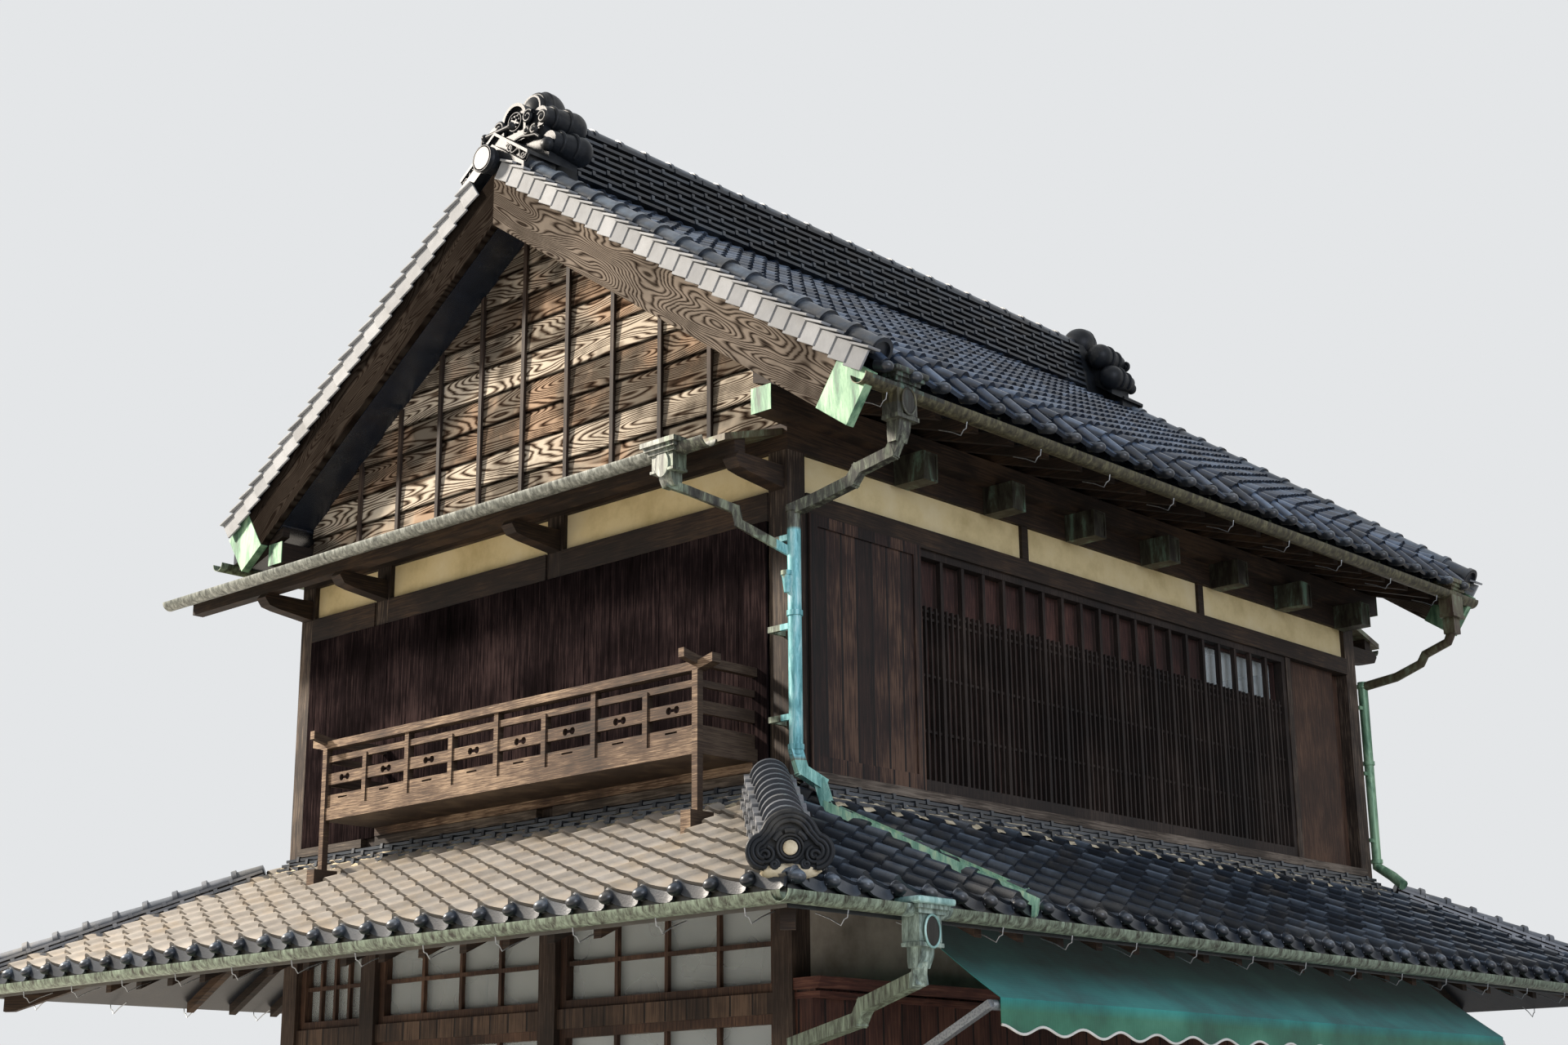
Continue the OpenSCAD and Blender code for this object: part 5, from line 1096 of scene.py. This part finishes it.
# %% Beads, rings and spirals
def bead(points, radius, closed=False, sides=3):
    """A round tube through 3-D points; sides is the curve's bevel resolution."""
    deselect()
    data = bpy.data.curves.new("bead", "CURVE")
    data.dimensions = "3D"
    data.bevel_depth = radius
    data.bevel_resolution = sides
    data.use_fill_caps = True
    line = data.splines.new("POLY")
    line.points.add(len(points) - 1)
    for spot, point in zip(line.points, points):
        spot.co = (*point, 1)
    line.use_cyclic_u = closed
    piece = bpy.data.objects.new("bead", data)
    bpy.context.scene.collection.objects.link(piece)
    only(piece)
    bpy.ops.object.convert(target="MESH")
    return bpy.context.object


def spiral(centre, outer, turns, spin=1, begin=0.0, inner=0.12, steps=14):
    """Points of a flat spiral that winds in to a fraction of its outer radius."""
    count = int(turns * steps)
    points = []
    for i in range(count + 1):
        part = i / count
        angle = begin + spin * turns * 2 * math.pi * part
        radius = outer * (1 - part) + outer * inner * part
        points.append((centre[0] + radius * math.cos(angle), centre[1] + radius * math.sin(angle)))
    return points


def arc(centre, radius, degrees_from, degrees_to, steps=16):
    angles = [math.radians(degrees_from + (degrees_to - degrees_from) * i / steps) for i in range(steps + 1)]
    return [(centre[0] + radius * math.cos(a), centre[1] + radius * math.sin(a)) for a in angles]


def on_face(points, origin, right_way, up_way, out_way, lift=0.0):
    """Turns drawn (right, up) points into places on a face."""
    origin, right_way, up_way, out_way = (Vector(v) for v in (origin, right_way, up_way, out_way))
    return [origin + right_way * p[0] + up_way * p[1] + out_way * lift for p in points]


def knob(centre, radius, stretch=(1, 1, 1)):
    return start("uv_sphere", stretch, centre, radius=radius, segments=16, ring_count=10)


print("bead tools ready")

# %% [markdown]
# ## Ornament of the ridge ends
# Below the arched niche a shallow band over each slope holds a scrolling vine, a traditional
# pattern. Beside the niche two volutes curl inwards and a knob ends the lowest lobe. Stepped rims
# follow the lobes. Everything is drawn once, for one side of the near end, and copied with a
# mirror to the other side and to the far end. A mirror turns a mesh inside out, so the copies
# have their normals recalculated.

# %% Ridge end ornament
def ridge_side():
    parts = []
    face = -0.128
    base = apex_z + 0.001
    right_way, up_way, out_way = (0, -1, 0), (0, 0, 1), (-1, 0, 0)

    def add_line(points, radius, x):
        parts.append(bead(on_face(points, (x, apex_y, 0), right_way, up_way, out_way), radius))

    for centre, size, spin, begin in (((0.128, 7.592), 0.044, 1, 0.6), ((0.255, 7.545), 0.040, -1, 2.6),
                                      ((0.185, 7.490), 0.030, 1, 1.0), ((0.120, 7.500), 0.024, -1, 1.5)):
        add_line(spiral(centre, size, 1.6, spin, begin), 0.0125, face + 0.006)
        parts.append(knob((face - 0.004, apex_y - centre[0], centre[1]), 0.013))
    add_line([(0.02, 7.470), (0.08, 7.476), (0.14, 7.462), (0.20, 7.452), (0.235, 7.425)], 0.010,
             face + 0.004)
    parts.append(knob((-0.118, apex_y - 0.299, 7.358), 0.043, (0.9, 1, 1)))
    # stepped rims round the lobes, each a bead that follows the lobe's section
    for dy, rise, radius, first, end in ((0.0, 0.420, 0.130, 0.010, 0.112),
                                         (0.205, 0.264, 0.098, -0.095, 0.144),
                                         (0.289, 0.080, 0.092, -0.095, 0.127)):
        for share in (0.28, 0.72):
            size = radius * (0.66 + 0.34 * share) + 0.001
            points = arc((dy, base + rise), size, -60 if dy else 90, 165 if dy else -20, 18)
            add_line(points, 0.013, first + (end - first) * share)
    # vine in the band over the slope, drawn in a frame that leans with the roof
    lean = math.atan(roof_slope)
    along, over = Vector((0, -math.cos(lean), -math.sin(lean))), Vector((0, -math.sin(lean), math.cos(lean)))
    origin = Vector((-0.256, apex_y, base + 0.086 + 0.035))
    reach = 0.30 / math.cos(lean)

    def vine(points, radius=0.009):
        parts.append(bead([origin + along * p[0] + over * p[1] for p in points], radius, sides=2))

    for middle, spin in ((reach * 0.46, 1), (reach * 0.86, -1)):
        vine(spiral((middle, 0.0), 0.030, 1.5, spin, 2.0))
    vine([(reach * (0.34 + 0.6 * i / 24), 0.021 * math.sin(i / 24 * 4.4 * math.pi)) for i in range(25)])
    vine([(reach * 0.30, -0.026), (reach * 0.97, -0.026), (reach * 0.97, 0.024), (reach * 0.30, 0.024)],
         0.005)
    return joined(parts, "ridge_scrolls")


def mirrored(piece, axis, about):
    other = duplicate(piece)
    scale = [1, 1, 1]
    scale[axis] = -1
    shift = [0, 0, 0]
    shift[axis] = 2 * about
    move_mesh(other, Matrix.Translation(shift) @ Matrix.Diagonal((*scale, 1)))
    edit_all(other, "normals_make_consistent", inside=False)
    return other


side = ridge_side()
other = mirrored(side, 1, apex_y)
ring = bead(on_face(arc((0, 0), 0.079, 0, 345, 26), (-0.352, apex_y, apex_z - 0.026), (0, -1, 0), (0, 0, 1),
                    (-1, 0, 0)),
            0.007, closed=True)
niche_ring = bead(on_face(arc((0, 0), 0.058, 0, 345, 22), (-0.112, apex_y, apex_z + 0.291), (0, -1, 0),
                          (0, 0, 1),
                  (-1, 0, 0)), 0.008, closed=True)
petals = [knob((-0.122, apex_y + 0.028 * math.cos(a), apex_z + 0.291 + 0.028 * math.sin(a)), 0.010,
               (0.6, 1, 1))
          for a in [math.pi / 3 * i for i in range(6)]]
near_end = joined([side, other, ring, niche_ring, *petals], "near_ridge_scrolls")
far_end = mirrored(near_end, 0, house_w / 2)
finish_piece(near_end, "near_ridge_scrolls", ornament_tile, smooth=60)
finish_piece(far_end, "far_ridge_scrolls", ornament_tile, smooth=60)

# %% [markdown]
# ## Ornament of the hip end
# The cloud-shaped tile at the foot of the near hip has three stepped outlines, one inside the
# other, an arched band of petals round a plain boss, and two spirals in the side lobes. The
# outlines are arcs of the same circles as the solid, each drawn smaller than the last and
# standing further out.

# %% Hip end ornament
hip_tilt = math.atan2(skirt_high - skirt_low, hip_run)
hip_stop = hip_run / math.cos(hip_tilt) - 0.185
face_run = hip_stop * math.cos(hip_tilt) + (0.142 + 0.084) * math.sin(hip_tilt) + 0.001 + 0.070
face_foot = skirt_high - (hip_stop + 0.09) * math.sin(hip_tilt) + 0.015
outward = -inward
rightward = Vector((-outward.y, outward.x, 0))
face_origin = pivot + outward * (face_run - hip_pivot) + Vector((0, 0, face_foot))
parts = []


def hip_line(points, lift, thick, closed=False):
    parts.append(bead(on_face(points, face_origin, rightward, (0, 0, 1), outward, lift), thick, closed))


for size, lift, thick in ((0.95, 0.002, 0.012), (0.79, 0.008, 0.011), (0.63, 0.012, 0.010)):
    top, lobe = 0.118, 0.0743
    inset = 0.118 * (1 - size)
    line = arc((-0.104, 0.0726), lobe - inset, 268, 104, 12) + arc((0, 0.1227), top - inset, 160, 20, 18)
    line += arc((0.104, 0.0726), lobe - inset, 76, -88, 12)
    hip_line(line, lift, thick)
for side in (-1, 1):
    for centre, size in (((0.100, 0.056), 0.037), ((0.064, 0.018), 0.020)):
        hip_line([(side * p[0], p[1]) for p in spiral(centre, size, 1.7, 1, 1.8)], 0.008, 0.0085)
for begin in (25, 72, 119):
    hip_line(arc((0, 0.085), 0.071, begin, begin + 36, 6), 0.012, 0.013)
for radius in (0.053, 0.039):
    hip_line(arc((0, 0.085), radius, 0, 345, 22), 0.018, 0.006, closed=True)
hip_scroll = joined(parts, "hip_end_scrolls")
finish_piece(hip_scroll, "hip_end_scrolls", ornament_tile, smooth=60)
boss = start("uv_sphere", (1, 1, 0.35), (0, 0, 0), radius=0.031, segments=20, ring_count=10)
set_row(boss, face_origin + outward * 0.022 + Vector((0, 0, 0.085)), rightward, (0, 0, 1), -outward)
finish_piece(boss, "hip_end_boss", mortar, smooth=60)
bed = start("uv_sphere", (1.0, 0.40, 0.30), (0, 0, 0), radius=0.125, segments=24, ring_count=12)
chance = random.Random(7)
for point in bed.data.vertices:
    point.co *= chance.uniform(0.9, 1.08)
set_row(bed, face_origin - outward * 0.03 + Vector((0, 0, -0.005)), rightward, outward)
finish_piece(bed, "hip_end_mortar", mortar, smooth=60)

# %% [markdown]
# ## Awning
# A canvas awning hangs over the shop front, from a board under the skirt roof to a tube. The
# sheet is one continuous piece: it sags a little between its edges, bends over the tube and hangs
# as a valance cut in scallops with a white bound edge. Cloth that is stretched this tight hardly
# moves, so the shape is drawn directly: rows of points from the board to the tube and down, with
# a shallow sag and faint ripples, rather than simulated. The rows are measured to give the size
# that the cloth was cut to.

# %% Awning cloth
(cloth_x0, cloth_y0, _), (cloth_x1, cloth_y1, cloth_z1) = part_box("awning_cloth")
scallops, per_scallop = 16, 14
columns = scallops * per_scallop
front_y, bend_z = cloth_y0 + 0.004, 2.325 + 0.034
slope_rows, hang_rows = 16, 6
rows = []
for j in range(slope_rows + 1):
    part = j / slope_rows
    y = cloth_y1 + (front_y - cloth_y1) * part
    z = cloth_z1 - 0.004 + (bend_z - cloth_z1 + 0.004) * part
    rows.append((y, z, 0.022 * math.sin(math.pi * part), 0.0))
for j in range(1, hang_rows + 1):
    rows.append((front_y, bend_z, 0.0, j / hang_rows))
chance = random.Random(4)
ripple = [chance.uniform(-0.004, 0.004) for _ in range(columns // 8 + 2)]
points, faces = [], []
for y, z, sag, hang in rows:
    for i in range(columns + 1):
        scallop = math.sin(math.pi * i / per_scallop) ** 2
        drop = hang * (0.122 + 0.038 * scallop)
        soft = ripple[i // 8] * (1 - (i % 8) / 8) + ripple[i // 8 + 1] * (i % 8) / 8
        points.append((cloth_x0 + (cloth_x1 - cloth_x0) * i / columns, y + soft * hang * 1.2 + 0.002 * hang,
                       z - sag - drop + soft * math.sin(sag * 140)))
for j in range(len(rows) - 1):
    for i in range(columns):
        a = j * (columns + 1) + i
        faces.append((a, a + columns + 1, a + columns + 2, a + 1))
sheet = bpy.data.meshes.new("awning_sheet")
sheet.from_pydata(points, [], faces)
cloth = bpy.data.objects.new("awning_sheet", sheet)
bpy.context.scene.collection.objects.link(cloth)
if sum(face.normal.z * face.area for face in sheet.polygons) < 0:
    edit_all(cloth, "flip_normals")
modify(cloth, "SOLIDIFY", thickness=0.003, offset=-1)

canvas, tree, shader, place = new_finish("teal_awning_canvas")
# plain weave; real threads are about 0.8 mm, drawn at 6 mm so that they show as a fine tooth
weave_x = add(tree, "TexWave", Vector=place, Scale=26.0, wave_type="BANDS", bands_direction="X")["Fac"]
weave_y = add(tree, "TexWave", Vector=place, Scale=26.0, wave_type="BANDS", bands_direction="Z")["Fac"]
weave = add(tree, "Math", weave_x, weave_y, operation="ADD")[0]
fade = add(tree, "TexNoise", Vector=place, Scale=2.4, Detail=5.0, Roughness=0.6)["Fac"]
slope_colour = add(tree, "ValToRGB", fade,
                   stops=[(0.3, "#0B5D5B"), (0.5, "#13807B"), (0.72, "#2D9A92")])["Color"]
valance_colour = add(tree, "ValToRGB", fade,
                     stops=[(0.3, "#1E503D"), (0.5, "#2D6E55"), (0.72, "#478A70")])["Color"]
level = add(tree, "SeparateXYZ", Vector=place)[2]
# painted shadow of the eave darkens the upper part of the cloth
upper = add(tree, "MapRange", level, 2.52, 2.90, 0.0, 0.85)[0]
slope_colour = add(tree, "Mix", upper, n6=slope_colour, n7=linear("#33382F"), data_type="RGBA")[2]
hanging = add(tree, "MapRange", level, 2.30, 2.36, 1.0, 0.0)[0]
fill(tree, shader,
     Base_Color=add(tree, "Mix", hanging, n6=slope_colour, n7=valance_colour, data_type="RGBA")[2],
     Roughness=0.82, Sheen_Weight=0.25, Normal=add(tree, "Bump", Height=weave, Distance=0.00025)["Normal"])
finish_piece(cloth, "awning_sheet", canvas, smooth=50)
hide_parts("awning_cloth")
last_row = points[-(columns + 1):]
binding = bead([Vector(p) + Vector((0, -0.002, 0)) for p in last_row], 0.0065, sides=2)
piping = mottled("white_cotton_binding", [(0.3, "#C9C9C2"), (0.6, "#E6E5DF")], 0.85, 0.0005, Scale=9.0,
                 Detail=4.0)
finish_piece(binding, "awning_binding", piping, smooth=60)

# %% [markdown]
# ## Boards and battens
# On the gable side the upper wall is clad with wide upright boards that run in front of the
# posts. Each board has its own edge and stands a little in or out, so the joints catch a thin
# line of shadow; a drawn joint would not. The boarded triangle above has thin dark battens.

# %% Wall boards and gable battens
def board_wall(name, x, side, y0, y1, z0, z1, seed):
    count = round((y1 - y0) / 0.19)
    wide = (y1 - y0) / count
    wall = start("cube", (0.014, wide - 0.0012, z1 - z0), (x, y0 + wide / 2, (z0 + z1) / 2), size=1)
    modify(wall, "BEVEL", width=0.0015, segments=1)
    points_each = len(wall.data.vertices)
    repeat(wall, count, (0, wide, 0))
    chance = random.Random(seed)
    for i in range(count):
        shift = side * chance.uniform(0.0, 0.003)
        for point in wall.data.vertices[i * points_each:(i + 1) * points_each]:
            point.co.x += shift
    return finish_piece(wall, name, board_finish, smooth=0)


board_wall("near_upper_boards", -0.010, -1, 0.135, house_d - 0.135, 3.492, 4.765, 3)
board_wall("far_upper_boards", house_w + 0.010, 1, 0.135, house_d - 0.135, 3.492, 4.765, 5)


def battens(name, x):
    parts = []
    for i in range(-4, 5):
        y = apex_y + batten_step * i
        top = gable_top - roof_slope * abs(y - apex_y) - 0.012
        batten = start("cube", (0.020, 0.028, top - gable_foot), (x, y, (top + gable_foot) / 2), size=1)
        choose(batten, lambda p, n: p.z > gable_foot + 0.05 and (p.y - y) * (apex_y - y + 0.001) < 0, "VERT")
        bpy.ops.transform.translate(value=(0, 0, -0.028 * roof_slope))
        deselect()
        parts.append(batten)
    return finish_piece(joined(parts, name), name, upright_dark, smooth=0)


def gable_wall():
    boards = []
    for i in range(gable_rows):
        low = gable_foot + row_high * i
        board = start("cube", (0.035, house_d - 0.12, row_high + 0.006),
                      (0.0355, house_d / 2, low + row_high / 2 + 0.003),
                      size=1)
        choose(board, lambda p, n: p.x < 0.03 and p.z < low + 0.02, "VERT")
        bpy.ops.transform.translate(value=(-0.013, 0, 0))
        deselect()
        boards.append(board)
    wall = joined(boards, "gable_wall")
    for lean in (1, -1):
        cut_away(wall, (0, apex_y, gable_top), (0, lean * roof_slope, -1))
    return wall


gable_foot, gable_top, gable_rows, batten_step = 5.2645, 6.895, 9, 0.378
row_high = (gable_top - gable_foot) / gable_rows
near_wall = gable_wall()
far_wall = mirrored(near_wall, 0, house_w / 2)
finish_piece(near_wall, "near_gable_boards", gable_finish, smooth=0)
finish_piece(far_wall, "far_gable_boards", gable_finish, smooth=0)
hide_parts("gable_walls")
battens("near_gable_battens", 0.0)
battens("far_gable_battens", house_w)

# %% [markdown]
# ## Bargeboards and their copper shoes
# A pair of wide planks follows the verge and meets under the ridge. Each is cut square at its
# foot, where a folded copper shoe keeps the rain out of the end grain. A plank is a box with
# broken edges; the joint at the ridge is one upright cut. The ends of the purlins have small
# copper plates.

# %% Bargeboards
slope_cos, slope_sin = math.cos(main_pitch), math.sin(main_pitch)
barge_wide = 0.2757


def barge_parts(run):
    """The board and shoe of the front slope; run is its level length from the ridge line."""
    up_way, across = Vector((0, slope_cos, slope_sin)), Vector((0, -slope_sin, slope_cos))
    foot = Vector((-0.215, apex_y - run, 7.2304 - roof_slope * run)) - across * barge_wide
    board = start("cube", (barge_wide, 4.0, 0.045), (barge_wide / 2, 2.0, 0.0225), size=1)
    shoe = start("cube", (barge_wide + 0.010, 0.240, 0.053), (barge_wide / 2, 0.116, 0.0225), size=1)
    for piece, width in ((board, 0.004), (shoe, 0.002)):
        modify(piece, "BEVEL", width=width, segments=1)
        place_on(piece, foot, across, up_way)
    cut_away(board, (0, apex_y - 0.0003, 0), (0, -1, 0))
    return board, shoe


front_board, front_shoe = barge_parts(2.845)
patterns = barge_parts(2.52)
back_board, back_shoe = (mirrored(piece, 1, apex_y) for piece in patterns)
for piece in patterns:
    bpy.data.objects.remove(piece)
plates = [start("cube", (0.005, 0.136, 0.136), (-0.2110, y, 5.3295), size=1) for y in (-0.021,
                                                                                       house_d + 0.021)]
boards, shoes = joined([front_board, back_board], "barge"), joined([front_shoe, back_shoe, *plates], "shoe")
far_boards, far_shoes = mirrored(boards, 0, house_w / 2), mirrored(shoes, 0, house_w / 2)
finish_piece(boards, "near_bargeboards", barge_finish, smooth=0)
finish_piece(far_boards, "far_bargeboards", barge_finish, smooth=0)
finish_piece(shoes, "near_copper_shoes", green_copper, smooth=0)
finish_piece(far_shoes, "far_copper_shoes", green_copper, smooth=0)
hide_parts("bargeboards")
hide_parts("copper_caps")

# %% [markdown]
# ## Trim of the rain-heads
# Each rain-head is a stepped copper box. Its top edge is rolled, which makes a soft pale rim, and
# an oval ring frames a shallow recess on the front, left bare here.

# %% Rain-head rims and ovals
recess_copper = aged_copper("dark_copper_recess", "#171410", "#2B2A24", "#46524A", -0.04)
rim_copper = aged_copper("pale_blue_copper_rim", "#5C7F7C", "#8DB4AF", "#B9D8D2", 0.02)


def rain_head_trim(name, x, y, z, high, rim_finish):
    """x, y, z is the top of the back face of a head that looks towards -y; high is its height."""
    rim = start("cube", (0.252, 0.146, 0.030), (x, y - 0.070, z - 0.012), size=1)
    modify(rim, "BEVEL", width=0.011, segments=3)
    finish_piece(rim, name + "_rim", rim_finish, smooth=40)
    middle = Vector((x, y - 0.108, z - 0.060 - high * 0.27))
    ring = bead([middle + Vector((0.050 * math.cos(a), 0, 0.068 * math.sin(a))) for a in
                 [math.pi * i / 14 for i in range(28)]], 0.0055, closed=True, sides=2)
    finish_piece(ring, name + "_ring", rim_finish, smooth=60)
    disc = start("uv_sphere", (0.047, 0.004, 0.064), middle + Vector((0, 0.001, 0)), radius=1, segments=24,
                 ring_count=12)
    return finish_piece(disc, name + "_recess", recess_copper, smooth=60)


rain_head_trim("upper_rain_head", 0.008, eave_head_y, upper_gutter_z + 0.075, 0.35, pipe_copper)
rain_head_trim("lower_rain_head", -0.465, -1.1323, skirt_gutter_z + 0.030, 0.29, rim_copper)

# %% [markdown]
# ## Rain-head and pipe of the far corner
# The far end of the front gutter drains like the near one: a box with a stepped rim, a leader
# that swings back under the eave and a round pipe down the corner. It repeats the near side
# mirrored, made of cubes for the folded box and of tubes along points for the bent leader.

# %% Far rain-head and pipe
head_x, head_y, head_z = house_w - 0.008, eave_head_y, upper_gutter_z + 0.075
pipe_x = house_w + 0.080
parts = []
# half width, depth, top and foot of each step, measured from the rim
for half, deep, high, low in ((0.122, 0.138, 0.0, 0.026), (0.108, 0.124, 0.024, 0.046),
                              (0.092, 0.108, 0.044, 0.066),
                              (0.075, 0.096, 0.060, 0.238), (0.082, 0.103, 0.224, 0.245),
                              (0.042, 0.080, 0.231, 0.350)):
    parts.append(start("cube", (half * 2, deep, low - high),
                       (head_x, head_y - deep / 2, head_z - (high + low) / 2), size=1))
swing = [(head_x, head_y - 0.040, 5.01), (5.700, -0.690, 4.942), (5.731, -0.505, 4.892),
         (5.738, -0.465, 4.837),
         (5.772, -0.261, 4.781), (pipe_x, -0.004, 4.752)]
parts.append(bead(swing, 0.031))
far_head = finish_piece(joined(parts, "far_rain_head"), "far_rain_head", brown_copper,
                        smooth=40)
pipe = [bead([(pipe_x, 0.0, 4.785), (pipe_x, 0.0, 3.530), (5.770, -0.110, 3.455), (5.740, -0.200, 3.385)],
             0.034)]
for level in (4.742, 4.212, 3.550):
    pipe.append(bead([(pipe_x, 0.0, level), (pipe_x, 0.0, level + 0.026)], 0.040))
for level in (3.70, 4.15, 4.60):
    pipe.append(start("cube", (0.080, 0.020, 0.024), (5.740, 0.0, level), size=1))
far_pipe = finish_piece(joined(pipe, "far_corner_pipe"), "far_corner_pipe", green_copper,
                        smooth=40)
print("far rain-head", [round(v, 3) for v in far_head.dimensions], "pipe",
      [round(v, 3) for v in far_pipe.dimensions])

# %% [markdown]
# ## Copper-wrapped beam ends
# Seven beam ends carry the outer purlin. Each is wrapped in folded copper sheet that stands a
# little proud of the timber, with its lower edge turned in as a drip.

# %% Beam end caps
first_beam, beam_step = 0.895, 0.77
parts = []
for i in range(7):
    cap = start("cube", (0.118, 0.206, 0.158), (first_beam + beam_step * i, -0.105, 5.184), size=1)
    choose(cap, lambda p, n: n.y < -0.9)
    bpy.ops.mesh.inset(thickness=0.012)
    bpy.ops.mesh.extrude_region_move(TRANSFORM_OT_translate={"value": (0, 0.006, 0)})
    deselect()
    parts.append(cap)
front_caps = joined(parts, "front_beam_caps")
back_caps = mirrored(front_caps, 1, house_d / 2)
finish_piece(front_caps, "front_beam_caps", beam_copper, smooth=0)
finish_piece(back_caps, "back_beam_caps", beam_copper, smooth=0)
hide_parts("beam_ends")

# %% [markdown]
# ## Trough on the skirt roof and gutter hooks
# The corner pipe empties into an open trough of folded sheet that lies across the tiles and ends
# over the gutter. Wire hooks, bent from one rod, hold each gutter at every second rafter.

# %% Trough and hooks
def slope_point(x, y, lift):
    return Vector((x, y, skirt_high + front_rise * y + lift))


head, tail = slope_point(0.0, -0.23, 0.085), slope_point(0.392, -1.165, 0.075)
run_way = (tail - head).normalized()
cross_way = Vector((run_way.y, -run_way.x, 0)).normalized() * -1
up_way = cross_way.cross(run_way).normalized()
if up_way.z < 0:
    up_way = -up_way
span = (tail - head).length
trough = start("cube", (0.084, span, 0.044), (0, span / 2, -0.022), size=1)
choose(trough, lambda p, n: n.z > 0.9)
bpy.ops.mesh.inset(thickness=0.005)
bpy.ops.mesh.extrude_region_move(TRANSFORM_OT_translate={"value": (0, 0, -0.034)})
choose(trough, lambda p, n: n.y > 0.9)
bpy.ops.mesh.extrude_region_move(TRANSFORM_OT_translate={"value": (0, 0.03, -0.075)})
deselect()
set_row(trough, head, cross_way, run_way, up_way)
finish_piece(trough, "lying_trough", pipe_copper, smooth=0)


def hooks(name, start_place, step, count, out_way, level, radius=0.003):
    """out_way points from the eave out over the gutter; level is the gutter's centre."""
    out_way = Vector(out_way)
    drawn = [(-0.17, -0.050), (-0.09, -0.080), (-0.030, -0.112), (-0.012, -0.088), (0.006, -0.082),
             (0.012, -0.050)]
    first = bead([Vector(start_place) + out_way * p[0] + Vector((0, 0, level + p[1])) for p in drawn], radius,
                 sides=1)
    repeat(first, count, step)
    return finish_piece(first, name, tube_steel, smooth=60)


hooks("front_gutter_hooks", (-0.1, -0.738, 0), (0.62, 0, 0), 10, (0, -1, 0), upper_gutter_z)
for name, place, step, count, out_way in (
        ("skirt_front_hooks", (-0.95, -1.18, 0), (0.52, 0, 0), 15, (0, -1, 0)),
        ("skirt_near_hooks", (-1.303, -0.95, 0), (0, 0.52, 0), 12, (-1, 0, 0)),
        ("skirt_back_hooks", (-0.95, house_d + 1.18, 0), (0.52, 0, 0), 15, (0, 1, 0)),
        ("skirt_far_hooks", (house_w + 1.303, -0.95, 0), (0, 0.52, 0), 12, (1, 0, 0))):
    hooks(name, place, step, count, out_way, skirt_gutter_z)

# %% [markdown]
# ## Cornice of the fascia
# The boarded box over the shop doors is capped by a moulded board that throws rain clear.

# %% Fascia cornice
(fx0, fy0, _), (fx1, _, fz1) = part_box("shop_fascia")
cornice = start("cube", (fx1 - fx0 + 0.03, -fy0 + 0.03, 0.055),
                ((fx0 + fx1) / 2, (fy0 - 0.03) / 2, fz1 - 0.020), size=1)
choose(cornice, lambda p, n: p.z < fz1 - 0.03 and p.y < fy0 - 0.01, "VERT")
bpy.ops.transform.translate(value=(0, 0.022, 0))
deselect()
under = start("cube", (fx1 - fx0 + 0.01, -fy0 + 0.012, 0.03),
              ((fx0 + fx1) / 2, (fy0 - 0.012) / 2, fz1 - 0.075), size=1)
finish_piece(joined([cornice, under], "fascia_cornice"), "fascia_cornice", cornice_finish,
             smooth=0)
